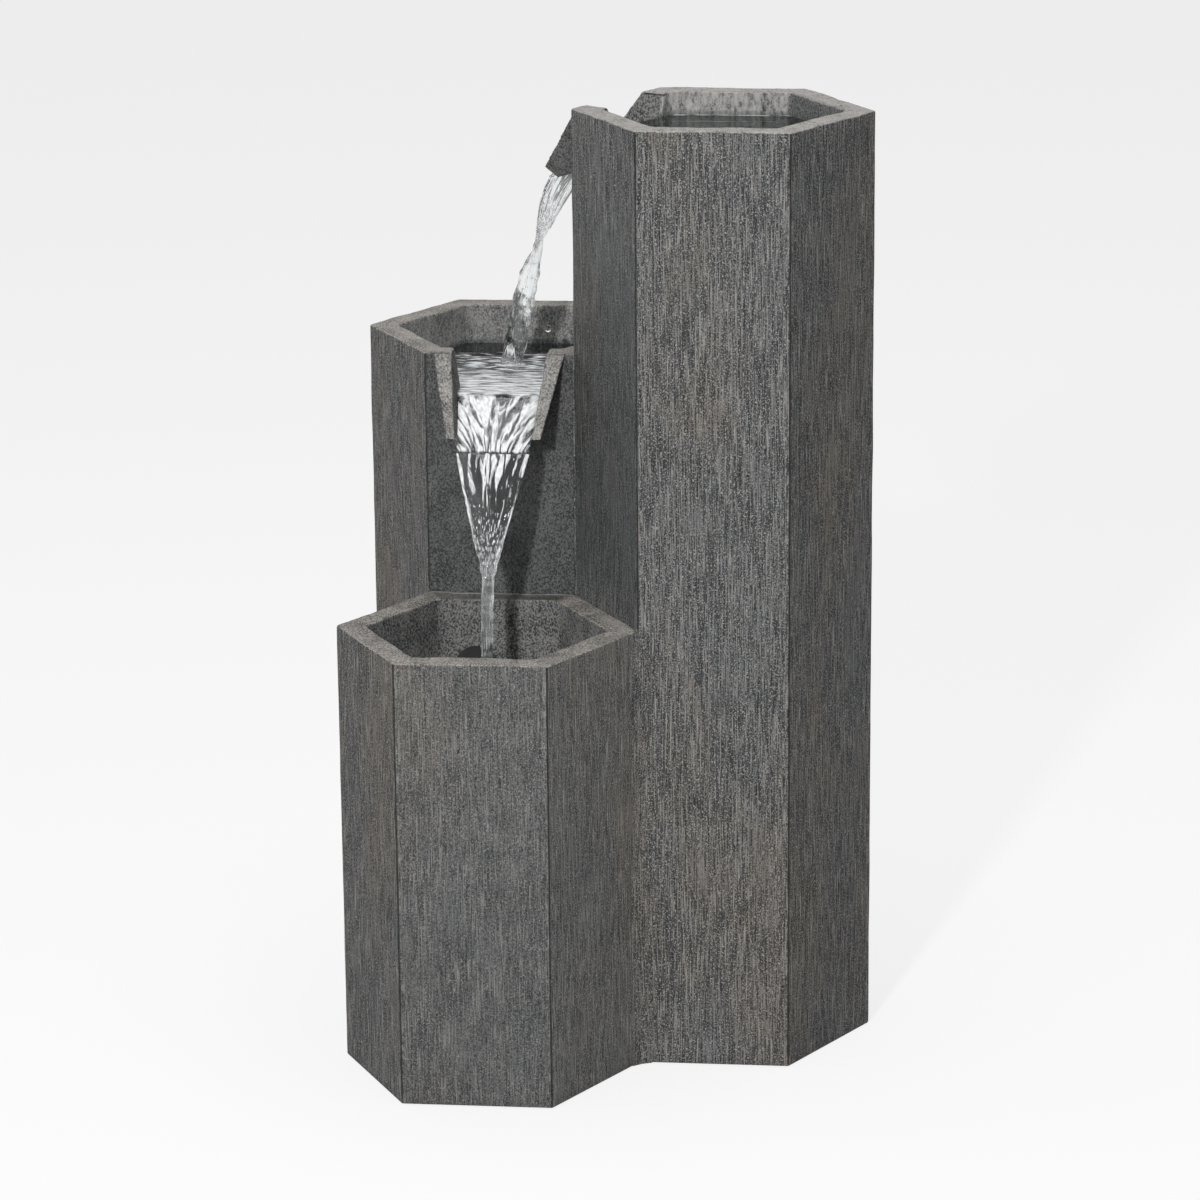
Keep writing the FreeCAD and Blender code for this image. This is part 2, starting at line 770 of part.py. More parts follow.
node(
    "drain_bush",
    turned(
        [
            ("Sizes.drain_bore / 2", "-Layout.rim_wall"),
            ("Layout.drain_outer / 2", "-Layout.rim_wall"),
            ("Layout.drain_outer / 2", "0"),
            ("Layout.drain_flange / 2", "0"),
            ("Layout.drain_flange / 2", "Sizes.drain_lip"),
            ("Sizes.drain_bore / 2", "Sizes.drain_lip"),
        ],
        along_drain("0"),
        drain,
    ),
)
plug_radius = "Sizes.drain_bore / 2 - Sizes.running_gap"
plug_top = "Sizes.drain_lip + Sizes.plug_head_height"
plug = turned(
    [
        ("0", "Sizes.drain_lip - Sizes.plug_length"),
        (plug_radius, "Sizes.drain_lip - Sizes.plug_length"),
        (plug_radius, "Sizes.drain_lip"),
        ("Sizes.plug_head / 2", "Sizes.drain_lip"),
        ("Sizes.plug_head / 2", plug_top),
        ("0", plug_top),
    ],
    along_drain("0"),
    drain,
)
grip_turn = Rotation(direction(DRAIN_ANGLE), direction(DRAIN_ANGLE + 90), UP, "XYZ")
grip = new_body(along_drain(plug_top), grip_turn)
half_grip = "Sizes.plug_grip_width / 2"
grip_tab = feature(
    grip,
    "Pad",
    outline(
        grip,
        "XZ_Plane",
        [
            ("0", f"-{half_grip}"),
            ("Sizes.plug_grip", f"-{half_grip}"),
            ("Sizes.plug_grip", half_grip),
            ("0", half_grip),
        ],
    ),
    Length="Sizes.plug_grip_span",
)
grip_tab.SideType = "Symmetric"
node("drain_plug", combine("Fuse", plug, grip))

grommet_bore = "Sizes.cord_bore / 2"
node(
    "cord_grommet",
    turned(
        [
            (grommet_bore, "-Sizes.shell_wall - Sizes.grommet_lip"),
            ("Layout.grommet_flange / 2", "-Sizes.shell_wall - Sizes.grommet_lip"),
            ("Layout.grommet_flange / 2", "-Sizes.shell_wall"),
            ("Sizes.grommet_neck / 2", "-Sizes.shell_wall"),
            ("Sizes.grommet_neck / 2", "-Sizes.grommet_lip"),
            ("Layout.grommet_flange / 2", "-Sizes.grommet_lip"),
            ("Layout.grommet_flange / 2", "0"),
            (grommet_bore, "0"),
        ],
        ("Layout.middle_x", "Layout.middle_y + Layout.apothem", "Sizes.cord_level"),
        BACK,
    ),
)


# Pump body

def on_axis(distance):
    """Spot on the rotor's centre line, at a distance behind the housing's front."""
    return ("Layout.pump_x", f"Layout.front_y + {distance}", "Layout.axis_z")


def pump_box(inset, start, length):
    """Box of the pump's outside, drawn in by an inset, over a length of its axis."""
    return block(
        f"Sizes.pump_width - 2 * ({inset})",
        length,
        f"Layout.pump_height - 2 * ({inset})",
        ("Layout.pump_x", f"Layout.front_y + {start}", f"Layout.pump_bottom + ({inset})"),
    )


def screw_spots():
    """Centres of the four screws that hold the pump chamber's flange."""
    across = "Sizes.pump_width / 2 - Sizes.screw_inset"
    for side in ("-", "+"):
        x = f"Layout.pump_x {side} ({across})"
        yield x, "Layout.pump_bottom + Sizes.screw_inset"
        yield x, "Layout.pump_top - Sizes.screw_inset"


def screw_holes():
    """Clearance holes for those screws, through the flange and into the housing."""
    length = "Sizes.screw_length + Sizes.cut_margin"
    for x, z in screw_spots():
        start = "Layout.front_y - Sizes.flange_thickness - Sizes.cut_margin"
        yield rod("Sizes.screw_diameter + 2 * Sizes.fit_gap", length, (x, start, z), BACK)


def gland_spot(rise):
    """Spot on the cord gland's centre line, above the housing's top."""
    return ("Layout.pump_x", "Layout.back_y - Sizes.gland_setback", f"Layout.pump_top + {rise}")


def pump_housing():
    """Motor housing: a box with a can for the rotor inside a chamber for the stator."""
    box = pump_box("0", "0", "Layout.pump_length")
    chamber = pump_box(
        "Sizes.pump_wall",
        "Sizes.pump_front_wall",
        "Layout.pump_length - Sizes.pump_front_wall + Sizes.cut_margin",
    )
    can = rod("2 * Layout.can_outer", "Sizes.can_depth + Sizes.can_wall", on_axis("0"), BACK)
    bore = rod("Sizes.can_bore", "Sizes.can_depth + Sizes.cut_margin", on_axis("-Sizes.cut_margin"), BACK)
    seat_start = on_axis("-Sizes.seal_height")
    seal_seat = combine(
        "Cut",
        rod("Layout.seal_outer + 2 * Sizes.fit_gap", "2 * Sizes.seal_height", seat_start, BACK),
        rod("Layout.seal_inner - 2 * Sizes.fit_gap", "2 * Sizes.seal_height", seat_start, BACK),
    )
    wire_way = rod(
        "Sizes.cord_bore",
        "Sizes.pump_wall + 2 * Sizes.cut_margin",
        gland_spot("-Sizes.pump_wall - Sizes.cut_margin"),
    )
    walls = combine("Fuse", combine("Cut", box, chamber), can)
    return node("pump_housing", combine("Cut", walls, bore, seal_seat, wire_way, *screw_holes()))


pump_housing()
node("pump_back_cover", pump_box("0", "Layout.pump_length", "Sizes.pump_wall"))
node(
    "pump_gland",
    turned(
        [
            ("Sizes.cord_bore / 2", "0"),
            ("Sizes.gland_diameter / 2", "0"),
            ("Sizes.gland_diameter / 2", "Sizes.gland_height / 2"),
            ("Sizes.gland_diameter / 2 - Sizes.pump_wall / 2", "Sizes.gland_height"),
            ("Sizes.cord_bore / 2", "Sizes.gland_height"),
        ],
        gland_spot("0"),
    ),
)
node(
    "volute_seal",
    combine(
        "Cut",
        rod("Layout.seal_outer", "Sizes.seal_height", on_axis("0"), BACK),
        rod("Layout.seal_inner", "Sizes.seal_height", on_axis("0"), BACK),
    ),
)


def suction_cup(x, y):
    """Rubber foot that stands on the tub's floor under the pump."""
    profile = [
        ("0", "0"),
        ("Sizes.cup_diameter / 2", "0"),
        ("Sizes.cup_diameter / 2", "Sizes.cup_lip"),
        ("Sizes.cup_stem / 2", "Sizes.cup_height / 2"),
        ("Sizes.cup_stem / 2", "Sizes.cup_height"),
        ("0", "Sizes.cup_height"),
    ]
    return turned(profile, (x, y, "Sizes.tub_floor_level"))


group(
    "suction_cups",
    [
        suction_cup(f"Layout.pump_x {side} (Sizes.pump_width / 2 - Sizes.cup_inset)", y)
        for side in ("-", "+")
        for y in ("Layout.front_y + Sizes.cup_inset", "Layout.back_y - Sizes.cup_inset")
    ],
)


# Stator

def stator_core():
    """Stack of iron sheets: two legs beside the rotor's can, joined under it."""
    stack = block(
        "Layout.core_width",
        "Sizes.core_stack",
        "Sizes.core_top + Layout.core_bottom",
        ("Layout.pump_x", "Layout.core_y", "Layout.axis_z - Layout.core_bottom"),
    )
    window = block(
        "Layout.core_window",
        "Sizes.core_stack",
        "Sizes.core_top + Layout.core_bottom",
        ("Layout.pump_x", "Layout.core_y", "Layout.axis_z - Layout.core_bottom + Sizes.core_yoke"),
    )
    bore = rod(
        "2 * (Layout.can_outer + Sizes.fit_gap)",
        "Sizes.core_stack",
        ("Layout.pump_x", "Layout.core_y", "Layout.axis_z"),
        BACK,
    )
    return node("stator_core", combine("Cut", stack, window, bore))


def stator_coil():
    """Wound block round the yoke of the core."""
    grow = "Sizes.fit_gap + Sizes.coil_wall"
    yoke_bottom = "Layout.axis_z - Layout.core_bottom"
    outside = block(
        "Layout.core_window - 2 * Sizes.coil_side",
        f"Sizes.core_stack + 2 * ({grow})",
        "Layout.coil_height",
        ("Layout.pump_x", f"Layout.core_y - ({grow})", f"{yoke_bottom} - ({grow})"),
    )
    inside = block(
        "Layout.core_window - 2 * Sizes.coil_side",
        "Sizes.core_stack + 2 * Sizes.fit_gap",
        "Sizes.core_yoke + 2 * Sizes.fit_gap",
        ("Layout.pump_x", "Layout.core_y - Sizes.fit_gap", f"{yoke_bottom} - Sizes.fit_gap"),
    )
    return node("stator_coil", combine("Cut", outside, inside))


stator_core()
stator_coil()


# Rotor on its fixed shaft

def shaft_bush(y, along):
    """Rubber cup that holds one end of the shaft."""
    profile = [
        ("0", "0"),
        ("Sizes.bush_diameter / 2", "0"),
        ("Sizes.bush_diameter / 2", "Sizes.bush_length"),
        ("Sizes.shaft_diameter / 2 + Sizes.running_gap", "Sizes.bush_length"),
        ("Sizes.shaft_diameter / 2 + Sizes.running_gap", "Sizes.bush_end"),
        ("0", "Sizes.bush_end"),
    ]
    return turned(profile, ("Layout.pump_x", y, "Layout.axis_z"), along)


group(
    "shaft_bushes",
    [
        shaft_bush("Layout.front_bush_y", BACK),
        shaft_bush("Layout.rear_bush_y + Sizes.bush_length", FRONT),
    ],
)
shaft_start = "Layout.front_bush_y + Sizes.bush_end"
node(
    "rotor_shaft",
    rod(
        "Sizes.shaft_diameter",
        f"Layout.rear_bush_y + Sizes.bush_length - Sizes.bush_end - ({shaft_start})",
        ("Layout.pump_x", shaft_start, "Layout.axis_z"),
        BACK,
    ),
)
node(
    "rotor_magnet",
    combine(
        "Cut",
        rod("Layout.magnet_diameter", "Layout.magnet_length", on_axis("Sizes.magnet_start"), BACK),
        rod("Layout.rotor_bore", "Layout.magnet_length", on_axis("Sizes.magnet_start"), BACK),
    ),
)

BLADES = 6


def impeller():
    """Back plate, hub and straight blades that throw the water outwards."""
    body = new_body(("Layout.pump_x", "Layout.blade_front_y", "Layout.axis_z"), Rotation(UP, BACK))
    plate_start = "Layout.blade_height"
    plate_end = "Layout.blade_height + Sizes.impeller_plate"
    hub_end = f"{plate_end} + Sizes.impeller_setback + Sizes.magnet_start"
    bore = "Layout.rotor_bore / 2"
    spun = outline(
        body,
        "XZ_Plane",
        [
            (bore, "0"),
            ("Sizes.hub_diameter / 2", "0"),
            ("Sizes.hub_diameter / 2", plate_start),
            ("Layout.impeller_diameter / 2", plate_start),
            ("Layout.impeller_diameter / 2", plate_end),
            ("Sizes.hub_diameter / 2", plate_end),
            ("Sizes.hub_diameter / 2", hub_end),
            (bore, hub_end),
        ],
    )
    spin = feature(body, "Revolution", spun)
    spin.ReferenceAxis = (spun, ["V_Axis"])
    inner = "Sizes.hub_diameter / 2 - Sizes.blade_thickness"
    outer = "Layout.impeller_diameter / 2 - Sizes.blade_thickness / 4"
    half = "Sizes.blade_thickness / 2"
    section = outline(
        body,
        "XY_Plane",
        [(inner, f"-{half}"), (outer, f"-{half}"), (outer, half), (inner, half)],
    )
    blade = feature(body, "Pad", section, Length=plate_end)
    around = body.newObject("PartDesign::PolarPattern", "around")
    around.Originals = [blade]
    around.Axis = (section, ["N_Axis"])
    around.Occurrences = BLADES
    body.Tip = around
    return node("impeller", body)


impeller()


# Pump chamber

EYES = 6


def volute_cover():
    """Chamber over the impeller, with an upright outlet and a flange on the housing."""
    flange = pump_box("Layout.screen_inset", "-Sizes.flange_thickness", "Sizes.flange_thickness")
    drum = rod(
        "2 * Layout.drum_radius",
        "Sizes.volute_depth",
        on_axis("-Sizes.volute_depth"),
        BACK,
    )
    riser_spot = ("Layout.pump_x", "Layout.pump_y", "Layout.axis_z")
    boss = rod("Sizes.outlet_boss", "Sizes.outlet_height", riser_spot)
    nozzle = rod("2 * Layout.barb_radius", "Sizes.outlet_height + Sizes.nozzle_length", riser_spot)
    chamber_depth = "Sizes.volute_depth - Sizes.volute_wall"
    chamber = rod(
        "Sizes.volute_bore",
        f"{chamber_depth} + Sizes.cut_margin",
        on_axis(f"-({chamber_depth})"),
        BACK,
    )
    way_out = rod(
        "2 * Layout.barb_bore",
        "Sizes.outlet_height + Sizes.nozzle_length + Sizes.cut_margin",
        riser_spot,
    )
    bush_seat = rod(
        "Sizes.bush_diameter + 2 * Sizes.fit_gap",
        "Sizes.volute_depth",
        on_axis("-Sizes.volute_depth - Sizes.cut_margin"),
        BACK,
    )
    eyes = []
    for number in range(EYES):
        angle = number * 360 / EYES
        spot = (
            f"Layout.pump_x + Sizes.eye_radius * cos({angle})",
            "Layout.front_y - Sizes.volute_depth - Sizes.cut_margin",
            f"Layout.axis_z + Sizes.eye_radius * sin({angle})",
        )
        eyes.append(rod("Sizes.eye_hole", "Sizes.volute_depth", spot, BACK))
    solid = combine("Fuse", flange, drum, boss, nozzle)
    return node("volute_cover", combine("Cut", solid, chamber, way_out, bush_seat, *eyes, *screw_holes()))


volute_cover()


def pump_screw(x, z):
    """Screw with a flat round head against the chamber's flange."""
    profile = [
        ("0", "-Sizes.screw_head_height"),
        ("Sizes.screw_head / 2", "-Sizes.screw_head_height"),
        ("Sizes.screw_head / 2", "0"),
        ("Sizes.screw_diameter / 2", "0"),
        ("Sizes.screw_diameter / 2", "Sizes.screw_length - Sizes.fit_gap"),
        ("0", "Sizes.screw_length - Sizes.fit_gap"),
    ]
    return turned(profile, (x, "Layout.front_y - Sizes.flange_thickness", z), BACK)


group("pump_screws", [pump_screw(x, z) for x, z in screw_spots()])


# Intake screen and flow dial

def intake_screen():
    """Slotted cage that pushes on over the pump chamber from the front."""
    shell = pump_box("0", "-Sizes.screen_depth", "Sizes.screen_depth")
    hollow = pump_box("Sizes.screen_wall", "-Sizes.screen_depth + Sizes.screen_wall", "Sizes.screen_depth")
    slot_depth = "Sizes.screen_wall + 2 * Sizes.cut_margin"
    slot_start = "Layout.screen_front_y - Sizes.cut_margin"
    rows = [
        ("Layout.pump_bottom + Sizes.slot_border", "Layout.axis_z - Sizes.slot_middle / 2"),
        ("Layout.axis_z + Sizes.slot_middle / 2", "Layout.pump_top - Sizes.slot_border"),
    ]
    slots = []
    for number in range(round(sizes.slot_count)):
        step = number - (sizes.slot_count - 1) / 2
        x = f"Layout.pump_x + ({step}) * Sizes.slot_pitch"
        for bottom, top in rows:
            spot = (x, slot_start, bottom)
            slots.append(block("Sizes.slot_width", slot_depth, f"{top} - ({bottom})", spot))
    outlet_gap = "Sizes.outlet_boss + 2 * Sizes.fit_gap"
    outlet_front = f"Layout.pump_y - ({outlet_gap}) / 2"
    outlet_slot = block(
        outlet_gap,
        f"Layout.front_y + Sizes.cut_margin - ({outlet_front})",
        "Layout.pump_height",
        ("Layout.pump_x", outlet_front, "Layout.axis_z"),
    )
    dial_hole = rod(
        "Sizes.dial_neck + 2 * Sizes.running_gap",
        slot_depth,
        ("Layout.pump_x", slot_start, "Layout.axis_z"),
        BACK,
    )
    return node("intake_screen", combine("Cut", shell, hollow, outlet_slot, dial_hole, *slots))


def flow_dial():
    """Dial on the screen's front: a disc with a grip, held by a head behind the wall."""
    disc_back = "Sizes.fit_gap"
    disc_front = f"{disc_back} + Sizes.dial_thickness"
    head_front = "-(Sizes.screen_wall + Sizes.fit_gap)"
    head_back = f"{head_front} - Sizes.dial_head_height"
    spot = ("Layout.pump_x", "Layout.screen_front_y", "Layout.axis_z")
    disc = turned(
        [
            ("0", head_back),
            ("Sizes.dial_head / 2", head_back),
            ("Sizes.dial_head / 2", head_front),
            ("Sizes.dial_neck / 2", head_front),
            ("Sizes.dial_neck / 2", disc_back),
            ("Sizes.dial_diameter / 2", disc_back),
            ("Sizes.dial_diameter / 2", disc_front),
            ("0", disc_front),
        ],
        spot,
        FRONT,
    )
    bar = block(
        "Sizes.dial_grip_width",
        "Sizes.dial_grip_height",
        "Sizes.dial_grip",
        (
            "Layout.pump_x",
            f"Layout.screen_front_y - ({disc_front}) - Sizes.dial_grip_height",
            "Layout.axis_z - Sizes.dial_grip / 2",
        ),
    )
    return node("flow_dial", combine("Fuse", disc, bar))


intake_screen()
flow_dial()


# Check every object, then write each piece to its own file

doc.recompute()
failed = [thing.Label for thing in doc.Objects if {"Invalid", "Error"} & set(thing.State)]
if failed:
    raise RuntimeError(f"failed to recompute: {failed}")
for label, thing in nodes.items():
    if thing.Shape.isNull() or not thing.Shape.isValid() or not thing.Shape.Solids:
        raise RuntimeError(f"no sound solid in {label}")

os.makedirs("parts", exist_ok=True)
for label, thing in nodes.items():
    thing.Shape.exportStep(f"parts/{label}.step")
    print(f"{label}: {len(thing.Shape.Solids)} solids, {thing.Shape.Volume / 1000:.1f} cubic cm")
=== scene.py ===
import math
from collections import namedtuple

import bmesh
import bpy
from bpy.props import FloatProperty, FloatVectorProperty, PointerProperty
from mathutils import Matrix, Vector, noise


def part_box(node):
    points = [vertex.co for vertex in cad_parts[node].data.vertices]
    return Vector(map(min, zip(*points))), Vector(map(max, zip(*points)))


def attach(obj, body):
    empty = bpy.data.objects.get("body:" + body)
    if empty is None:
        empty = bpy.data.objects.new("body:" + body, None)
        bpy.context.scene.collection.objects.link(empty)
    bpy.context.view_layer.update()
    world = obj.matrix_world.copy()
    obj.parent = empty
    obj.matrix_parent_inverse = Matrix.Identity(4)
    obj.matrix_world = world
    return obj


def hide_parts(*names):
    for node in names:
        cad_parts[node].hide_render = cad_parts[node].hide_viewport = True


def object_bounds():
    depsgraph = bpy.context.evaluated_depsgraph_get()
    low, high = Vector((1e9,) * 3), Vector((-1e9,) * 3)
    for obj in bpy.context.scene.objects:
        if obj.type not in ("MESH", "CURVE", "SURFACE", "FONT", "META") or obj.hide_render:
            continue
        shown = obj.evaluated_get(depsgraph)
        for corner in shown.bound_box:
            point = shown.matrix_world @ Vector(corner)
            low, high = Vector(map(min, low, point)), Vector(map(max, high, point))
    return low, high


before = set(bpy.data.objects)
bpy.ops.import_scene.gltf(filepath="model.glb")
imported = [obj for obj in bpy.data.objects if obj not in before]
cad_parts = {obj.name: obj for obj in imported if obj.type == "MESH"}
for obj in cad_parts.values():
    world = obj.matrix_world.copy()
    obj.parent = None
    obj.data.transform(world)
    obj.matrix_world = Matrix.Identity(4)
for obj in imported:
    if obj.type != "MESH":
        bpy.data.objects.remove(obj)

bl_info = {
    "name": "Tiered Fountain",
    "version": (1, 0, 0),
    "blender": (4, 5, 0),
    "location": "3D View > Sidebar > Fountain",
    "description": "Dresses a fountain of stepped hexagonal columns, with its water, fittings and stage",
    "category": "Object",
}

CAD_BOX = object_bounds()
BODY = "fountain"
FACES = 6
FACE_TURN = 360 / FACES
TAN30 = math.tan(math.radians(30))
COS30 = math.cos(math.radians(30))
GRAVITY = 9.81
# Faces are counted anticlockwise from the one that looks along +30 degrees.
BACK_RIGHT, BACK, BACK_LEFT, FRONT_LEFT, FRONT, FRONT_RIGHT = range(FACES)


def direction(degrees):
    """Level direction at an angle from +X."""
    return Vector((math.cos(math.radians(degrees)), math.sin(math.radians(degrees)), 0))


def face_angle(face):
    """Angle of a face's outward direction."""
    return FACE_TURN * (face + 0.5)


UP = Vector((0, 0, 1))
NORMALS = [direction(face_angle(face)) for face in range(FACES)]
ALONGS = [direction(face_angle(face) + 90) for face in range(FACES)]


def ease(value, low, high):
    """Smooth step from 0 at low to 1 at high."""
    share = min(1.0, max(0.0, (value - low) / (high - low)))
    return share * share * (3 - 2 * share)


def blend(first, second, share):
    """Value between two, by a share."""
    return first + (second - first) * share


def spread(low, high, step):
    """Evenly spaced values from low to high, about a step apart."""
    count = max(1, round((high - low) / step))
    return [blend(low, high, number / count) for number in range(count + 1)]


class Column:
    """Plan and levels of one hexagonal column and the bowl in it, read from the frame."""

    def __init__(self, name, insert):
        low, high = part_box(f"{name}_column")
        insert_low, insert_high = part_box(insert)
        self.name = name
        self.insert = insert
        self.centre = Vector(((low.x + high.x) / 2, (low.y + high.y) / 2, 0))
        self.apothem = (high.y - low.y) / 2
        self.top = high.z
        self.seam = self.apothem - (insert_high.y - insert_low.y) / 2
        self.insert_bottom = insert_low.z
        self.bonded = {}
        self.notch = None


LOW = Column("low", "reservoir_tub")
MIDDLE = Column("middle", "middle_bowl")
TALL = Column("tall", "top_bowl")
COLUMNS = (LOW, MIDDLE, TALL)
# Faces glued to a neighbour, with the height up to which they are.
LOW.bonded = {BACK: LOW.top, BACK_RIGHT: LOW.top}
MIDDLE.bonded = {FRONT: LOW.top, FRONT_RIGHT: MIDDLE.top}
TALL.bonded = {FRONT_LEFT: LOW.top, BACK_LEFT: MIDDLE.top}
MIDDLE.notch = FRONT
TALL.notch = BACK_LEFT


def node_middle(node):
    """Middle of a node's box."""
    low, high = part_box(node)
    return (low + high) / 2


def amount(label, default, description, **kind):
    """Number property, with the unit or subtype that fits it."""
    return FloatProperty(name=label, description=description, default=default, **kind)


def metres(label, default, description):
    """Length property."""
    return amount(label, default, description, unit="LENGTH", precision=4)


def tint(label, default, description):
    """Colour property."""
    return FloatVectorProperty(
        name=label, description=description, default=default, size=3, subtype="COLOR", min=0, max=1
    )


class CastingSettings(bpy.types.PropertyGroup):
    """Sizes and colours of the cast columns, bowls and chutes."""

    bowl_wall: metres("Bowl wall", 0.013, "Thickness of a bowl's wall inside the column's shell")
    bowl_floor: metres("Bowl floor", 0.013, "Thickness of a bowl's floor")
    tub_floor: metres("Tub floor", 0.015, "Thickness of the reservoir tub's floor")
    edge_round: metres("Rim edge", 0.0018, "Rounding of the rim's outer edge")
    inner_round: metres("Rim inner edge", 0.0020, "Rounding of the rim's inner edge")
    floor_round: metres("Floor fillet", 0.010, "Fillet between a bowl's wall and its floor")
    plan_round: metres("Column corners", 0.0022, "Rounding of the columns' upright corners")
    inner_plan_round: metres("Bowl corners", 0.012, "Rounding of the bowls' upright inside corners")
    unevenness: metres("Unevenness", 0.0009, "Depth of the long waves in the walls")
    combing: metres("Combing", 0.00045, "Depth of the combed grooves")
    groove_pitch: metres("Groove pitch", 0.0021, "Distance between combed grooves")
    groove_length: metres("Groove length", 0.025, "Length over which a groove comes and goes")
    corner_groove: metres("Corner groove", 0.0009, "Depth of the dark line down each corner")
    rim_wave: metres("Rim waves", 0.0018, "Depth of the waves along the rims")
    sill_depth: metres("Sill depth", 0.044, "Depth of a chute's sill below the rim")
    opening_half: metres("Opening", 0.046, "Half width of a chute's opening at the rim")
    opening_round: metres("Opening shoulders", 0.003, "Rounding of the opening's shoulders at the rim")
    opening_draw: metres("Opening draw", 0.0085, "How far the opening draws in on each side over the drop")
    spout_drop: metres("Spout drop", 0.066, "Depth over which a chute's opening draws in")
    step_along: metres("Mesh step along", 0.0013, "Distance between mesh points along a wall")
    step_up: metres("Mesh step up", 0.011, "Distance between mesh points up a wall")
    voxel: metres("Chute voxel", 0.0013, "Mesh size of the chutes")
    groove: tint("Groove", (0.050, 0.052, 0.054), "Dark grooves between the combed ridges")
    crest: tint("Ridge", (0.193, 0.195, 0.196), "Combed ridges")
    warm_groove: tint("Warm groove", (0.058, 0.055, 0.052), "Grooves in the brown patches")
    warm_crest: tint("Warm ridge", (0.222, 0.203, 0.182), "Ridges in the brown patches")
    fleck: tint("Fleck", (0.40, 0.385, 0.355), "Light grains")
    pit: tint("Pit", (0.018, 0.018, 0.019), "Dark pits")
    # Pale rim colour: bare cement, and also painted top light on upward faces.
    rim_light: tint("Rim", (0.385, 0.362, 0.332), "Bare cement on the rims")
    rim_dark: tint("Rim grain", (0.080, 0.076, 0.071), "Dark grains in the rims")
    cast_light: tint("Cast face", (0.235, 0.232, 0.224), "Light grains of uncombed faces")
    cast_dark: tint("Cast face grain", (0.042, 0.044, 0.046), "Dark grains of uncombed faces")
    # Lime colour, also used for painted light on the low column's back rim edge and front-right face.
    lime: tint("Lime", (0.44, 0.432, 0.415), "Dried lime on cheeks, rims and inside the top bowl")
    # Damp tint, also used for painted shade.
    damp_and_shade_tint: tint("Damp", (0.56, 0.58, 0.585), "Share of its dry colour that wet cement keeps")


class WaterSettings(bpy.types.PropertyGroup):
    """Levels and shapes of the water."""

    top_depth: metres("Top level", 0.0234, "Depth of the top bowl's water below its rim")
    middle_depth: metres("Middle level", 0.0405, "Depth of the middle bowl's water below its rim")
    low_depth: metres("Basin level", 0.100, "Depth of the basin's water below its rim")
    film: metres("Film", 0.0036, "Thickness of the water on a chute")
    slab: metres("Pool skin", 0.006, "Thickness of the pools' skin")
    roll: metres("Pool edge", 0.008, "Reach and dip of a deep pool's edge over its chute's sill")
    speed: amount("Speed", 0.58, "Speed of the water at the lip", unit="VELOCITY")
    sheet: metres("Sheet", 0.0050, "Fall below the lip over which the sheet keeps its width")
    neck: metres("Neck", 0.114, "Fall over which the lower sheet draws in to a stream")
    top_neck: metres("Top neck", 0.080, "Fall over which the upper sheet draws in to a stream")
    stream: metres("Stream", 0.0058, "Radius of the drawn-in stream")
    ripple: metres("Ripple", 0.0013, "Height of the ripples round a fall")
    clear: tint("Clear water", (0.93, 0.96, 0.96), "Tint of the falling water")
    # White of falls and pools: broken water, and also painted reflection, highlight and glints.
    foam_and_sheen: tint("Foam", (0.82, 0.835, 0.845), "Broken white water")
    pool: tint("Pool", (0.78, 0.82, 0.82), "Tint of what is seen through a pool's skin")


class FittingSettings(bpy.types.PropertyGroup):
    """Colours of the hose, the fittings and the pump."""

    rubber: tint("Rubber", (0.012, 0.012, 0.013), "Sleeves, grommet, gasket, cups and plug")
    hose: tint("Hose", (0.028, 0.029, 0.031), "Riser hose")
    plastic: tint("Plastic", (0.024, 0.025, 0.027), "Pump housing and fittings")
    screen: tint("Screen", (0.035, 0.037, 0.041), "Intake screen")
    dial: tint("Dial", (0.10, 0.15, 0.20), "Flow dial")
    impeller: tint("Impeller", (0.48, 0.50, 0.53), "Impeller")
    steel: tint("Steel", (0.56, 0.56, 0.55), "Clamps and screws")
    core: tint("Core", (0.30, 0.30, 0.31), "Stator's iron sheets")
    copper: tint("Copper", (0.60, 0.25, 0.11), "Stator's winding")
    ferrite: tint("Ferrite", (0.055, 0.055, 0.060), "Rotor magnet")
    ceramic: tint("Ceramic", (0.80, 0.79, 0.75), "Rotor shaft")


class StageSettings(bpy.types.PropertyGroup):
    """Camera, lamps and floor."""

    eye: FloatVectorProperty(
        name="Eye", description="Place of the camera", default=(0.4287, -4.2612, 1.6397), unit="LENGTH"
    )
    yaw: amount("Yaw", math.radians(-5.911), "Turn of the view from +Y", subtype="ANGLE")
    pitch: amount("Pitch", math.radians(15.725), "Dip of the view", subtype="ANGLE")
    roll: amount("Roll", math.radians(-0.514), "Tilt of the view", subtype="ANGLE")
    lens: amount("Lens", 136.32, "Focal length", unit="CAMERA")
    key_from: FloatVectorProperty(
        name="Key from",
        description="Direction to the key lamp",
        default=(-0.16, -1.0, 0.46),
        subtype="DIRECTION",
    )
    key_distance: metres("Key distance", 4.6, "Distance of the key lamp")
    key_size: metres("Key size", 0.25, "Width of the key lamp")
    key_power: amount("Key power", 138.0, "Power of the key lamp", unit="POWER")
    top_height: metres("Top lamp height", 4.0, "Height of the soft lamp overhead")
    top_size: metres("Top lamp size", 3.0, "Width of the soft lamp overhead")
    top_power: amount("Top lamp power", 62.0, "Power of the soft lamp overhead", unit="POWER")
    sky: amount("Sky", 0.29, "Strength of the soft light from all round")
    floor_size: metres("Floor", 60.0, "Width of the floor")
    floor_gap: metres("Floor gap", 0.0005, "Gap between the floor and the columns' feet")
    floor_white: amount("Floor white", 0.78, "Share of plain white in the seen floor")
    floor_lit: tint("Lit floor", (0.9, 0.9, 0.9), "Floor that keeps the shadow")
    floor_dim: tint("Dim floor", (0.4, 0.4, 0.4), "Floor as it lights the object")


# Shader nodes

# Turn of the fine grain from the columns' faces.
GRAIN_TURN = math.radians(17)


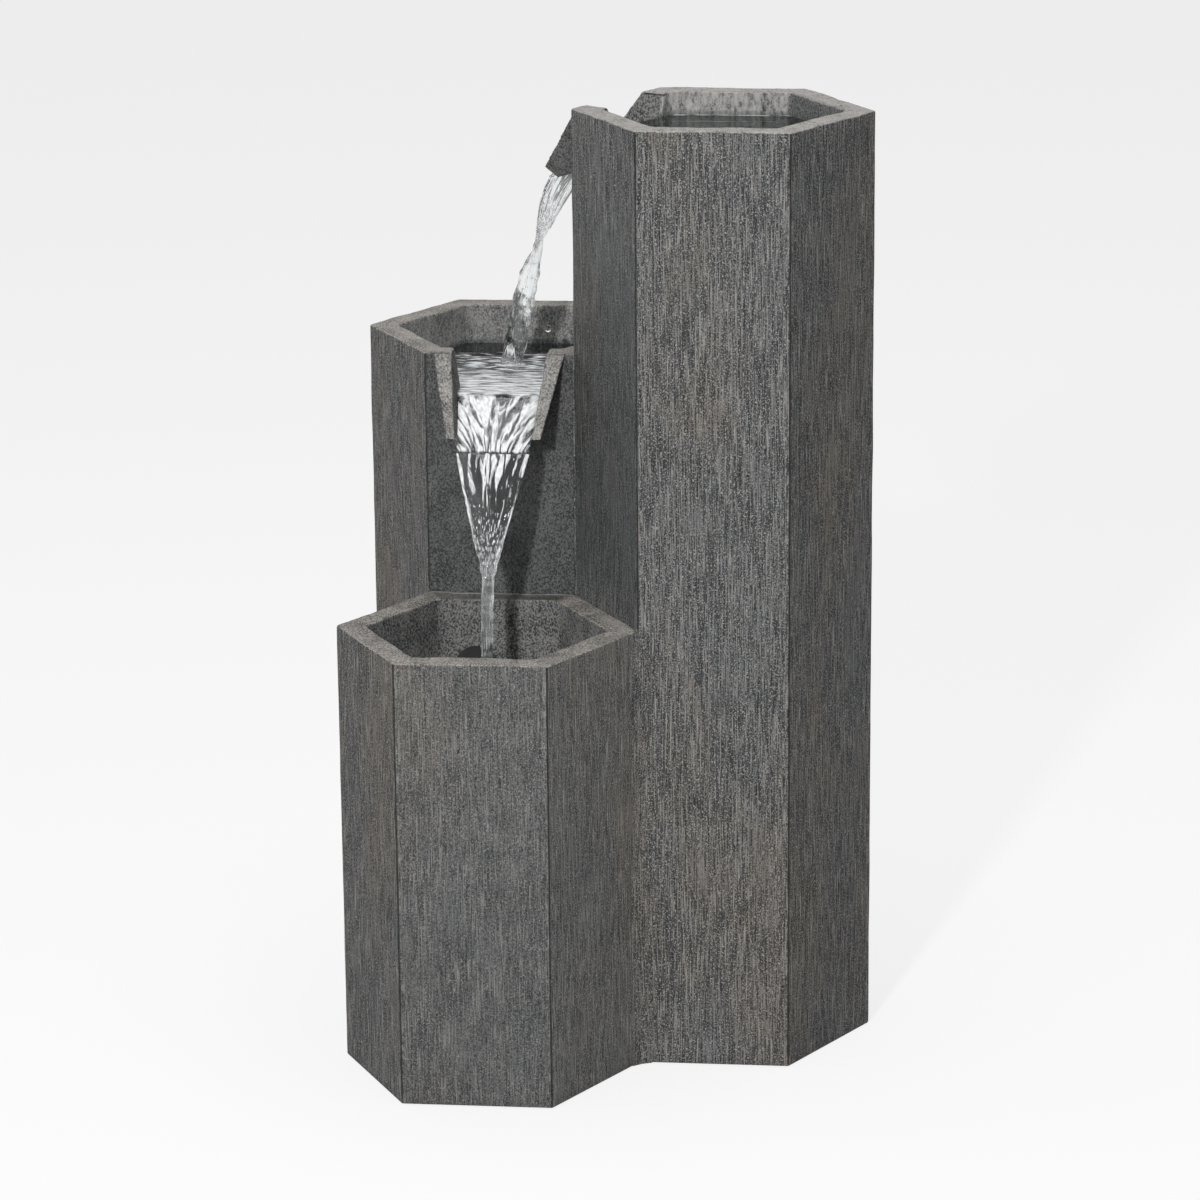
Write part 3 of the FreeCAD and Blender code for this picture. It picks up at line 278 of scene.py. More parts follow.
class Wire:
    """One socket's value in a finish; arithmetic on it adds Math nodes."""

    def __init__(self, finish, socket):
        self.finish = finish
        self.socket = socket

    def math(self, operation, first, second):
        return self.finish.node("ShaderNodeMath", {"operation": operation}, {0: first, 1: second})

    def __add__(self, other):
        return self.math("ADD", self, other)

    def __sub__(self, other):
        return self.math("SUBTRACT", self, other)

    def __rsub__(self, other):
        return self.math("SUBTRACT", other, self)

    def __mul__(self, other):
        return self.math("MULTIPLY", self, other)

    __radd__ = __add__
    __rmul__ = __mul__


class Nodes:
    """A node tree being filled, node by node."""

    def __init__(self, tree):
        self.tree = tree
        self.tree.nodes.clear()

    def node(self, kind, settings, inputs, output=0):
        """Add a node: its settings first, then the values or wires of its sockets."""
        made = self.tree.nodes.new(kind)
        for name, value in settings.items():
            setattr(made, name, value)
        for key, value in inputs.items():
            if isinstance(value, Wire):
                self.tree.links.new(value.socket, made.inputs[key])
            else:
                made.inputs[key].default_value = value
        return Wire(self, made.outputs[output]) if made.outputs else None

    def seen(self):
        """1 for what the camera sees, also through clear and in shiny things, and 0 for all other light."""
        rays = ("Is Camera Ray", "Is Transmission Ray", "Is Glossy Ray")
        camera, through, shiny = [self.node("ShaderNodeLightPath", {}, {}, ray) for ray in rays]
        return camera.math("MAXIMUM", camera.math("MAXIMUM", camera, through), shiny)


class Finish(Nodes):
    """A material being made."""

    def __init__(self, name):
        self.material = bpy.data.materials.new(name)
        self.material.use_nodes = True
        super().__init__(self.material.node_tree)

    def place(self, stretch=(1, 1, 1)):
        """Place on the object in metres, stretched along the axes."""
        spot = self.node("ShaderNodeTexCoord", {}, {}, "Object")
        return self.node("ShaderNodeVectorMath", {"operation": "MULTIPLY"}, {0: spot, 1: stretch})

    def askew(self, stretch):
        """Place, turned so that no face lies along the noise's grid, where fine grain would beat."""
        inputs = {"Vector": self.place(stretch), "Angle": GRAIN_TURN}
        return self.node("ShaderNodeVectorRotate", {"rotation_type": "Z_AXIS"}, inputs)

    def noise(self, spot, per_metre, detail=2.0, roughness=0.5, distortion=0.0):
        """Smooth noise from 0 to 1, with features a part of a metre across."""
        inputs = {
            "Vector": spot,
            "Scale": per_metre,
            "Detail": detail,
            "Roughness": roughness,
            "Distortion": distortion,
        }
        return self.node("ShaderNodeTexNoise", {}, inputs)

    def mask(self, name):
        """Value painted on the mesh."""
        return self.node("ShaderNodeAttribute", {"attribute_name": name}, {}, "Fac")

    def window(self, value, low, high):
        """Smooth step of a value from 0 at low to 1 at high."""
        inputs = {"Value": value, "From Min": low, "From Max": high}
        return self.node("ShaderNodeMapRange", {"interpolation_type": "SMOOTHSTEP"}, inputs)

    def mix(self, share, first, second, kind="MIX"):
        """Mix two colours."""
        settings = {"data_type": "RGBA", "blend_type": kind}
        return self.node("ShaderNodeMix", settings, {0: share, 6: opaque(first), 7: opaque(second)}, 2)

    def bump(self, height, depth, strength):
        """Normal from a height."""
        return self.node("ShaderNodeBump", {}, {"Height": height, "Distance": depth, "Strength": strength})

    def surface(self, **inputs):
        """The material's own shader, with its sockets set, as its output."""
        named = {key.replace("_", " "): opaque(value) for key, value in inputs.items()}
        self.output(self.node("ShaderNodeBsdfPrincipled", {}, named))
        return self.material

    def output(self, shader):
        """Send a shader to the output."""
        self.node("ShaderNodeOutputMaterial", {}, {"Surface": shader})

    def joined(self, share, first, second):
        """Mix two shaders."""
        return self.node("ShaderNodeMixShader", {}, {0: share, 1: first, 2: second})


def opaque(value):
    """A colour property as a colour socket's value; anything else as it is."""
    if isinstance(value, (Wire, float, int)):
        return value
    return (*value, 1.0) if len(value) == 3 else value


def darker(colour, share):
    """A colour with a share of its light."""
    return tuple(share * part for part in colour)


def combed_face(finish, settings, combed):
    """Colour and height of a combed face: grit, fine scratched lines, worn and stained patches, pits."""
    lines = finish.noise(finish.askew((1, 1, 0.035)), 920, detail=1.0)
    breaks = finish.noise(finish.askew((1, 1, 0.07)), 500, detail=1.0)
    grit = finish.noise(finish.askew((1, 1, 0.8)), 880, detail=1.5, roughness=0.5)
    patches = finish.noise(finish.place((1, 1, 0.5)), 24, detail=3.0, roughness=0.55)
    stains = finish.noise(finish.place((1, 1, 0.4)), 8, detail=3.0)
    worn = finish.window(patches, 0.53, 0.70)
    warm = finish.window(stains + 0.3 * patches, 0.59, 0.84)
    combing = 0.45 * lines + 0.55 * grit
    texture = combed * combing + (1 - combed) * grit
    ridge = finish.window(texture + 0.14 * patches - 0.07, 0.43, 0.585) * (1 - 0.3 * worn) + 0.10 * worn
    colour = finish.mix(
        ridge,
        finish.mix(warm, settings.groove, settings.warm_groove),
        finish.mix(warm, settings.crest, settings.warm_crest),
    )
    scratch = combed * finish.window(lines, 0.54, 0.66) * finish.window(breaks, 0.44, 0.60)
    sparkle = finish.window(grit, 0.60, 0.68)
    light = scratch.math("MAXIMUM", 0.6 * scratch, 0.95 * sparkle) * (1 - 0.6 * worn)
    colour = finish.mix(light, colour, settings.fleck)
    colour = finish.mix(0.85 * finish.window(texture, 0.42, 0.33), colour, settings.pit)
    return colour, texture * (1 - 0.5 * worn) + 0.3 * scratch + 0.25 * patches


def cast_face(finish, dark, light, grain):
    """Colour and height of a face as it came from the mould: close light and dark grains."""
    speckle = finish.noise(finish.askew((1, 1, 0.8)), grain, detail=3.0, roughness=0.7)
    clouds = finish.noise(finish.place(), 38, detail=3.0, roughness=0.6)
    share = finish.window(0.8 * speckle + 0.2 * clouds, 0.43, 0.57)
    return finish.mix(share, dark, light), 0.7 * speckle + 0.3 * clouds


def cement(settings, name, combed=1.0):
    """Cast cement: combed, with bare, plain, creased, chipped, wet and limed places, and painted top light,
    shade and light.
    """
    finish = Finish(name)
    wall, wall_height = combed_face(finish, settings, combed)
    plain, plain_height = cast_face(finish, settings.cast_dark, settings.cast_light, 600)
    # Pale colour of upward faces near the top: bare cement and painted top light.
    bare_and_toplit, bare_height = cast_face(finish, settings.rim_dark, settings.rim_light, 600)
    clouds = finish.noise(finish.place((1, 1, 0.5)), 55, detail=3.0, roughness=0.6)
    chips = finish.noise(finish.place((1, 1, 0.3)), 260, detail=3.0, roughness=0.65)
    runs = finish.noise(finish.place((1, 1, 0.06)), 150, detail=3.0, roughness=0.6)
    rough = finish.window(finish.mask("rough") + 0.3 * clouds, 0.45, 0.85)
    rim = finish.window(finish.mask("rim") + 0.5 * clouds + 0.25 * chips, 0.70, 1.10)
    crease = finish.window(finish.mask("crease") + 0.9 * chips + 0.5 * clouds, 1.15, 1.65)
    chipped = finish.mask("edge") * finish.window(chips, 0.54, 0.66)
    wet = finish.window(finish.mask("wet") + 0.35 * clouds, 0.45, 0.90)
    limed_and_painted_light = finish.mask("lime") * finish.window(0.3 * runs + 0.9 * chips + 0.4 * clouds, 0.56, 0.98)
    colour = finish.mix(rough, wall, plain)
    colour = finish.mix(rim, colour, bare_and_toplit)
    colour = finish.mix(0.5 * chipped, colour, settings.fleck)
    colour = finish.mix(limed_and_painted_light, colour, settings.lime)
    # Damp tint over wet places and over painted shade.
    colour = finish.mix(wet, colour, settings.damp_and_shade_tint, "MULTIPLY")
    colour = finish.mix(0.85 * crease, colour, settings.pit)
    height = wall_height * (1 - rough) * (1 - rim) + 0.8 * plain_height * rough + 0.6 * bare_height * rim
    return finish.surface(
        Base_Color=colour,
        Roughness=0.88 - 0.4 * wet,
        Specular_IOR_Level=0.2,
        Normal=finish.bump(height - 0.5 * crease, 0.0013, 0.8),
    )


DUST = (0.16, 0.155, 0.145)


def moulded(name, colour, gloss, grain, dusty=0.35):
    """Moulded plastic or rubber: fine grain, scuffs and a little dust."""
    finish = Finish(name)
    texture = finish.noise(finish.place(), grain, detail=3.0)
    scuffs = finish.noise(finish.place((1, 0.2, 1)), 60, detail=4.0, roughness=0.65)
    dust = finish.window(finish.noise(finish.place(), 35, detail=3.0), 0.5, 0.8)
    shade = finish.mix(dusty * dust, colour, DUST)
    return finish.surface(
        Base_Color=finish.mix(0.25 * texture, shade, darker(colour, 0.6)),
        Roughness=gloss + 0.25 * scuffs,
        Normal=finish.bump(0.7 * texture + 0.3 * scuffs, 0.00025, 0.6),
    )


def rolled(name, colour, stretch, gloss=0.28):
    """Metal with fine lines along its rolling direction and faint tarnish."""
    finish = Finish(name)
    lines = finish.noise(finish.place(stretch), 900, detail=3.0, roughness=0.6)
    tarnish = finish.window(finish.noise(finish.place(), 50, detail=3.0), 0.5, 0.75)
    return finish.surface(
        Base_Color=finish.mix(0.4 * tarnish, colour, darker(colour, 0.45)),
        Roughness=gloss + 0.25 * lines,
        Normal=finish.bump(lines, 0.00012, 0.5),
        Metallic=1.0,
    )


def wound(name, colour):
    """Enamelled wire wound in rows."""
    finish = Finish(name)
    settings = {"wave_type": "BANDS", "bands_direction": "X", "wave_profile": "SIN"}
    turns = finish.node("ShaderNodeTexWave", settings, {"Vector": finish.place(), "Scale": 420.0})
    tone = finish.noise(finish.place(), 200, detail=2.0)
    return finish.surface(
        # Darker between the turns: painted shade in the grooves.
        Base_Color=finish.mix(0.5 * tone + 0.3 * (1 - turns), colour, darker(colour, 0.3)),
        Roughness=0.3 + 0.2 * tone,
        Normal=finish.bump(turns, 0.0006, 0.8),
        Metallic=0.9,
    )


def fired(name, colour):
    """Fired ceramic or ferrite: fine speckle under a ground surface."""
    finish = Finish(name)
    speckle = finish.noise(finish.place(), 1500, detail=2.0)
    ground = finish.noise(finish.place((1, 0.05, 1)), 700, detail=2.0)
    return finish.surface(
        Base_Color=finish.mix(0.4 * finish.window(speckle, 0.5, 0.7), colour, darker(colour, 0.7)),
        Roughness=0.35 + 0.25 * ground,
        Normal=finish.bump(ground, 0.0001, 0.4),
    )


WATER_IOR = 1.333


def running_water(settings):
    """Clear running water with white streaks and specks along its flow: aerated water, painted reflection
    and glints.
    """
    finish = Finish("running_water")
    across, run = finish.mask("across"), finish.mask("run")
    spot = finish.node("ShaderNodeCombineXYZ", {}, {0: 3.4 * across, 1: 32 * run})
    zebra = finish.noise(spot, 1.0, detail=2.0, distortion=0.9)
    spot = finish.node("ShaderNodeCombineXYZ", {}, {0: 12 * across, 1: 150 * run, 2: 4.0})
    specks = finish.noise(spot, 1.0, detail=1.0)
    white = finish.window(zebra + 0.5 * finish.mask("foam_and_sheen"), 0.70, 0.86)
    # White specks along the flow: spray and painted glints.
    white = white.math("MAXIMUM", white, finish.window(specks + 0.5 * finish.mask("spray_and_glints"), 0.80, 0.90))
    normal = finish.bump(0.6 * zebra + 0.4 * specks, 0.0016, 0.6)
    clear = finish.node(
        "ShaderNodeBsdfPrincipled",
        {},
        {
            "Base Color": opaque(settings.clear),
            "Roughness": 0.02,
            "IOR": WATER_IOR,
            "Transmission Weight": 1.0,
            "Normal": normal,
        },
    )
    milky = finish.mix(finish.window(specks, 0.35, 0.60), darker(settings.foam_and_sheen, 0.7), settings.foam_and_sheen)
    foam_and_sheen = {"Base Color": milky, "Roughness": 0.3, "Normal": normal}
    finish.output(finish.joined(white, clear, finish.node("ShaderNodeBsdfPrincipled", {}, foam_and_sheen)))
    return finish.material


def pool_water(settings):
    """Skin of a pool: it mirrors at low angles, shows what is under it, and is white where broken and where
    a highlight is painted.
    """
    finish = Finish("pool_water")
    chop = finish.noise(finish.place((0.45, 1, 1)), 85, detail=3.0)
    froth = finish.noise(finish.place((0.22, 1, 1)), 230, detail=3.0)
    normal = finish.bump(chop, 0.0014, 0.5)
    share = finish.node("ShaderNodeFresnel", {}, {"IOR": 1.4, "Normal": normal})
    under = finish.node("ShaderNodeBsdfTransparent", {}, {"Color": opaque(settings.pool)})
    mirror = finish.node("ShaderNodeBsdfGlossy", {}, {"Roughness": 0.06, "Normal": normal})
    foam_and_sheen = {"Base Color": opaque(settings.foam_and_sheen), "Roughness": 0.4, "Normal": normal}
    white_skin = finish.node("ShaderNodeBsdfPrincipled", {}, foam_and_sheen)
    white = finish.window(froth + 0.6 * finish.mask("foam_and_sheen"), 0.72, 0.95)
    finish.output(finish.joined(white, finish.joined(share, under, mirror), white_skin))
    return finish.material


# Meshes

# Steps of a mesh round an upright corner, round an edge, across the rim, and on plain inner faces.
CORNER_STEPS = 4
EDGE_STEPS = 5
RIM_STEP = 0.0025
INNER_STEP = 0.2
UNDER_STEP = 0.03
FLOOR_STEP = 0.02
# Height at which the shell's inside begins, and share of its edge that is cut off at the foot.
INSIDE_START = 0.01
FOOT_CUT = 0.3
# Share of the apothem at which the rings of a bowl's floor end.
HUB_SHARE = 0.6
# Margins of the mesh: beside a flat's middle, beside a sill, and below it down to level rows.
MIDDLE_MARGIN = 0.001
SILL_MARGIN = 0.0006
ROWS_BELOW_SILL = 0.026
# Height over which a wall comes free above the glue, and depth of the worn band below a rim.
GLUE_REACH = 0.006
WORN_BAND = 0.05
# Features per metre: waves in a wall, nicks in a corner, dips along a rim, and grit.
WAVES = 16
NICKS = 60
DIPS = 22
GRIT = 420
# Height of the grit on a rim, and the part of it that a worn rim keeps.
GRIT_HEIGHT = 0.0006
GRIT_KEPT = 0.25
# Layers of uneven surfaces: how fast they fade, how much finer each one is, and how many there are.
LAYERS = (0.8, 2.0, 3)
# Shift from face to face, so that no two have the same grooves.
FACE_SHIFT = 7.3

# A place round a column: a way along a face's flat, or a turn round the corner after it.
Place = namedtuple("Place", "face along turn")
# A level of a casting: what weathers it, its inset from the faces, and its height, from the rim or not.
Level = namedtuple("Level", "kind inset height from_rim")


def untouched(inset, height):
    """Level without weathering."""
    return Level("untouched", inset, height, False)


class Casting:
    """A column's shell or bowl, as rings of like places round its hexagon."""

    def __init__(self, settings, column):
        self.settings = settings
        self.column = column
        self.rim_wall = column.seam + settings.bowl_wall
        self.outer_half = (column.apothem - settings.plan_round) * TAN30
        inner_flat = (column.apothem - self.rim_wall - settings.inner_plan_round) * TAN30
        self.core = inner_flat - MIDDLE_MARGIN
        self.taper = settings.opening_draw / settings.spout_drop
        self.squash = settings.sill_depth + ROWS_BELOW_SILL
        self.places = self.all_places()

    def all_places(self):
        """Places round the outside: along each flat, then round the corner after it."""
        turns = [number / CORNER_STEPS for number in range(1, CORNER_STEPS)]
        places = []
        for face in range(FACES):
            places += [Place(face, along, 0) for along in self.flat_places(face)]
            places += [Place(face, None, turn) for turn in turns]
        return places

    def flat_places(self, face):
        """Distances along a flat, closer together on the sides of a chute's opening."""
        step = self.settings.step_along
        if face != self.column.notch:
            return spread(-self.outer_half, self.outer_half, step)
        wide = self.settings.opening_half + self.settings.opening_round
        narrow = self.settings.opening_half - self.taper * self.settings.sill_depth - SILL_MARGIN
        outer = spread(wide, self.outer_half, step)
        sides = spread(narrow, wide, step / 4)
        left = [-along for along in reversed(sides[1:] + outer[1:])]
        return left + spread(-narrow, narrow, step) + sides[1:] + outer[1:]

    def plan(self, place, inset):
        """Spot of a place at an inset from the column's faces, and its outward direction."""
        apothem = self.column.apothem - inset
        share = min(1.0, inset / self.rim_wall)
        rounding = blend(self.settings.plan_round, self.settings.inner_plan_round, share)
        if place.turn == 0:
            half = (apothem - rounding) * TAN30
            reach = abs(place.along)
            if reach > self.core:
                reach = self.core + (reach - self.core) * (half - self.core) / (self.outer_half - self.core)
            outward = NORMALS[place.face]
            spot = outward * apothem + ALONGS[place.face] * math.copysign(reach, place.along)
        else:
            outward = direction(face_angle(place.face) + FACE_TURN * place.turn)
            hub = direction(FACE_TURN * (place.face + 1)) * ((apothem - rounding) / COS30)
            spot = hub + outward * rounding
        return self.column.centre + spot, outward

    def rim_height(self, place):
        """Height of the rim at a place: lower in a chute's opening."""
        top = self.column.top
        if place.face != self.column.notch or place.turn != 0:
            return top
        rounding = self.settings.opening_round
        beyond = abs(place.along) - self.settings.opening_half
        if beyond > rounding:
            return top
        if beyond > 0:
            return top - rounding + math.sqrt(rounding**2 - (rounding - beyond) ** 2)
        return top - min(self.settings.sill_depth, rounding - beyond / self.taper)

    def point(self, place, level):
        """Weathered point at a place and level."""
        spot, outward = self.plan(place, level.inset)
        rim = self.rim_height(place)
        base = self.column.top - self.squash
        if level.from_rim:
            spot.z = rim + level.height
        elif level.height > base:
            spot.z = blend(base, rim, (level.height - base) / self.squash)
        else:
            spot.z = level.height
        return self.weathered(spot, outward, place, level.kind, rim)

    def weathered(self, spot, outward, place, kind, rim):
        """Move a point as hand finishing and weather do, a little in and out of the frame's faces."""
        settings = self.settings
        loose = 1.0
        if place.face in self.column.bonded and place.turn == 0:
            bonded = self.column.bonded[place.face]
            loose = ease(spot.z, bonded, bonded + GLUE_REACH)
        near_rim = ease(spot.z, rim - WORN_BAND, rim)
        wave = noise.noise(spot * WAVES)
        if kind == "wall":
            depth = 0.5 * settings.unevenness * wave
            if place.turn == 0:
                along = ALONGS[place.face]
                around = (spot.x * along.x + spot.y * along.y) / settings.groove_pitch
                row = Vector((around, spot.z / settings.groove_length, FACE_SHIFT * place.face))
                depth += 0.5 * settings.combing * noise.noise(row)
            else:
                deep = math.sin(math.pi * place.turn) * (0.75 + 0.5 * noise.noise(spot * NICKS))
                depth += settings.corner_groove * deep
            spot = spot - outward * (depth * loose)
        elif kind == "inside":
            spot = spot + outward * (0.4 * settings.unevenness * wave)
        if kind != "untouched":
            dips = 0.5 + 0.5 * noise.fractal(spot * DIPS, *LAYERS)
            grit = 0.5 + 0.5 * noise.noise(spot * GRIT)
            cut = 1.0 if rim < self.column.top else GRIT_KEPT
            spot.z -= near_rim * (settings.rim_wave * dips + GRIT_HEIGHT * cut * grit)
        return spot

    def rings(self, levels):
        """One ring of points for each level."""
        return [[self.point(place, level) for place in self.places] for level in levels]

    def round_ring(self, radius, height):
        """Round ring about the column's middle."""
        ring = []
        for place in self.places:
            spot, _ = self.plan(place, self.rim_wall)
            ring.append(self.column.centre + (spot - self.column.centre).normalized() * radius)
        return [Vector((spot.x, spot.y, height)) for spot in ring]

    def rim_levels(self, start, end):
        """Levels across the rim's top."""
        return [Level("rim", inset, 0.0, True) for inset in spread(start, end, RIM_STEP)]

    def edge_levels(self, radius, inset, toward, kind="wall"):
        """Levels round the rim's edge, from the wall to the top, over a quarter turn."""
        levels = []
        for number in range(EDGE_STEPS):
            turn = math.radians(90 * number / EDGE_STEPS)
            across = inset + toward * radius * (1 - math.cos(turn))
            levels.append(Level(kind, across, -radius * (1 - math.sin(turn)), True))
        return levels

    def shell_levels(self):
        """Levels of a column's shell: up the outside, over the rim, down the inside."""
        settings = self.settings
        top, seam, edge = self.column.top, self.column.seam, settings.edge_round
        heights = spread(edge, top - self.squash, settings.step_up)
        heights += spread(top - self.squash, top - 2 * edge, settings.step_up / 2)[1:]
        foot = edge * FOOT_CUT
        levels = [untouched(seam, 0.0), untouched(edge, 0.0), untouched(foot, foot)]
        levels += [Level("wall", 0.0, height, False) for height in heights]
        levels += self.edge_levels(edge, 0.0, 1)
        levels += self.rim_levels(edge, seam)
        insides = reversed(spread(INSIDE_START, top - self.squash, INNER_STEP))
        levels += [untouched(seam, height) for height in insides]
        return levels

    def bowl_levels(self, floor):
        """Levels of a bowl: up its back, over the rim, down the inside and in across the floor."""
        settings = self.settings
        top, seam, bottom = self.column.top, self.column.seam, self.column.insert_bottom
        edge, fillet = settings.inner_round, settings.floor_round
        hub = HUB_SHARE * self.column.apothem
        floor_level = bottom + floor
        levels = [untouched(inset, bottom) for inset in spread(hub, seam, -UNDER_STEP)]
        heights = spread(bottom, top - self.squash, INNER_STEP)[1:]
        levels += [untouched(seam, height) for height in heights]
        levels += self.rim_levels(seam, self.rim_wall - edge)
        levels += reversed(self.edge_levels(edge, self.rim_wall, -1, "inside"))
        heights = spread(top - self.squash, top - 2 * edge, settings.step_up / 2)[1:]
        heights = spread(floor_level + fillet, top - self.squash, settings.step_up) + heights
        levels += [Level("inside", self.rim_wall, height, False) for height in reversed(heights)]
        for number in range(1, EDGE_STEPS + 1):
            turn = math.radians(90 * number / EDGE_STEPS)
            inset = self.rim_wall + fillet * (1 - math.cos(turn))
            levels.append(untouched(inset, floor_level + fillet * (1 - math.sin(turn))))
        insets = spread(self.rim_wall + fillet, hub, FLOOR_STEP)[1:]
        levels += [untouched(inset, floor_level) for inset in insets]
        return levels


def skin(name, rings, loop):
    """Mesh over rings of equally many points: a loop of rings, or one closed by a point at each end."""
    points = [spot for ring in rings for spot in ring]
    around = len(rings[0])
    faces = []
    pairs = list(zip(range(len(rings)), range(1, len(rings))))
    if loop:
        pairs.append((len(rings) - 1, 0))
    for first, second in pairs:
        for number in range(around):
            following = (number + 1) % around
            faces.append(
                (
                    first * around + number,
                    first * around + following,
                    second * around + following,
                    second * around + number,
                )
            )
    if not loop:
        for ring, offset in ((rings[0], 0), (rings[-1], (len(rings) - 1) * around)):
            points.append(sum(ring, Vector()) / around)
            pole = len(points) - 1
            for number in range(around):
                corners = (offset + number, pole, offset + (number + 1) % around)
                faces.append(corners if offset == 0 else corners[::-1])
    mesh = bpy.data.meshes.new(name)
    mesh.from_pydata(points, [], faces)
    return mesh


def add_piece(name, mesh, material, body=BODY):
    """New object that rides on a body."""
    piece = bpy.data.objects.new(name, mesh)
    bpy.context.scene.collection.objects.link(piece)
    mesh.materials.clear()
    mesh.materials.append(material)
    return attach(piece, body)


def settle(piece, crease_angle=38):
    """Outward faces and smooth shading, with sharp edges past an angle."""
    shape = bmesh.new()
    shape.from_mesh(piece.data)
    bmesh.ops.recalc_face_normals(shape, faces=shape.faces)
    shape.to_mesh(piece.data)
    shape.free()
    piece.data.shade_smooth()
    piece.data.set_sharp_from_angle(angle=math.radians(crease_angle))


def apply_modifiers(piece):
    """Turn a piece's modifiers into its mesh."""
    bpy.context.view_layer.update()
    seen = piece.evaluated_get(bpy.context.evaluated_depsgraph_get())
    made = bpy.data.meshes.new_from_object(seen)
    piece.modifiers.clear()
    old = piece.data
    piece.data = made
    made.name = piece.name
    bpy.data.meshes.remove(old)


Hole = namedtuple("Hole", "radius length start along")
HOLE_SIDES = 48


def rod_mesh(hole):
    """Closed round rod that fills a hole."""
    across = hole.along.orthogonal().normalized()
    beside = hole.along.cross(across)
    turns = [2 * math.pi * number / HOLE_SIDES for number in range(HOLE_SIDES)]
    rings = []
    for reach in (0.0, hole.length):
        middle = hole.start + hole.along * reach
        rings.append(
            [middle + (across * math.cos(turn) + beside * math.sin(turn)) * hole.radius for turn in turns]
        )
    return skin("cutter", rings, False)


def drill(piece, holes):
    """Cut round holes through a piece."""
    cutters = []
    for hole in holes:
        cutter = bpy.data.objects.new("cutter", rod_mesh(hole))
        bpy.context.scene.collection.objects.link(cutter)
        settle(cutter)
        boolean = piece.modifiers.new("hole", "BOOLEAN")
        boolean.operation = "DIFFERENCE"
        boolean.solver = "EXACT"
        boolean.object = cutter
        cutters.append(cutter)
    apply_modifiers(piece)
    for cutter in cutters:
        mesh = cutter.data
        bpy.data.objects.remove(cutter)
        bpy.data.meshes.remove(mesh)


# Play round a fitting in its hole, and how far a hole is cut past its wall.
FIT = 0.0003
PAST = 0.004
# Brims round the rubber sleeves and the grommet, the drain bush's flange, and the grommet's lip.
RUBBER_BRIM = 0.004
BUSH_FLANGE = 0.006
GROMMET_LIP = 0.003
# Start of the drain's hole inside the column's face, its length, and the grommet holes' length.
DRAIN_INSIDE = 0.04
DRAIN_LENGTH = 0.06
CORD_LENGTH = 0.03


def fitting_holes():
    """Holes that the sleeves, the drain and the grommet sit in."""
    back = Vector((0, 1, 0))
    low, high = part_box("basin_sleeve")
    sleeve = node_middle("basin_sleeve")
    radius = (high.x - low.x) / 2 - RUBBER_BRIM
    start = Vector((sleeve.x, low.y - PAST, sleeve.z))
    basin = Hole(radius, high.y - low.y + 2 * PAST, start, back)
    across = -NORMALS[BACK_LEFT]
    shared = TALL.centre - across * TALL.apothem
    shared.z = sleeve.z
    depth = TALL.seam + PAST
    riser = Hole(radius, 2 * depth, shared - across * depth, across)
    low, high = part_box("drain_bush")
    outward = NORMALS[BACK_LEFT]
    start = LOW.centre + outward * (LOW.apothem - DRAIN_INSIDE)
    start.z = (low.z + high.z) / 2
    drain = Hole((high.z - low.z) / 2 - BUSH_FLANGE + FIT, DRAIN_LENGTH, start, outward)
    low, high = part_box("cord_grommet")
    grommet = node_middle("cord_grommet")
    flange = (high.z - low.z) / 2
    start = Vector((grommet.x, low.y, grommet.z))
    cord = Hole(flange - RUBBER_BRIM + FIT, CORD_LENGTH, start, back)
    start = Vector((grommet.x, high.y - GROMMET_LIP, grommet.z))
    seat = Hole(flange + FIT, CORD_LENGTH, start, back)
    return {
        "low_column": [basin, drain],
        "reservoir_tub": [basin, drain],
        "middle_column": [basin, riser, cord, seat],
        "tall_column": [riser],
    }


# What is painted on cement, and where a point lies on a column.
Marks = namedtuple("Marks", "rim rough crease edge wet lime")
NO_MARKS = Marks(*[0.0] * len(Marks._fields))
Where = namedtuple("Where", "face along inset corner up z below bonded")
# Ranges over which a mark comes on, in metres below the rim, in from a face or from a corner.
NEAR_TOP = (0.07, 0.05)
OUTSIDE = (0.006, 0.004)
WET_RIM = (0.004, 0.007)
CORNER_LINE = (0.0026, 0.0004)
CORNER_CHIPS = (0.009, 0.002)
# Ranges of a face's upward lean: level tops, upright walls, and the two ends of a rounded edge.
LEVEL_TOP = (0.35, 0.8)
UPRIGHT = (0.7, 0.3)
EDGE_START = (0.1, 0.35)
EDGE_END = (0.98, 0.8)
# Heights over which marks come on beside a joint's top or a water line, and over which a wall is damp.
LINE_BLUR = 0.004
DAMP_OVER = 0.010
DAMP_UNDER = 0.002


def paint(mesh, name, values):
    """Store one number for each point of a mesh, for its finish to read."""
    layer = mesh.attributes.new(name, "FLOAT", "POINT")
    layer.data.foreach_set("value", values)


def paint_marks(piece, marks):
    """Store the marks of a piece's points."""
    for name, values in zip(Marks._fields, zip(*marks)):
        paint(piece.data, name, values)


def locate(vertex, column):
    """Where a point lies on a column."""
    spot = vertex.co - column.centre
    reaches = [outward.dot(spot) for outward in NORMALS]
    face = max(range(FACES), key=reaches.__getitem__)
    along = ALONGS[face].dot(spot)
    beside = (face + (1 if along > 0 else -1)) % FACES
    bonded = max(column.bonded.get(face, 0.0), column.bonded.get(beside, 0.0))
    inset = column.apothem - reaches[face]
    corner = reaches[face] * TAN30 - abs(along)
    return Where(face, along, inset, corner, vertex.normal.z, spot.z, column.top - spot.z, bonded)


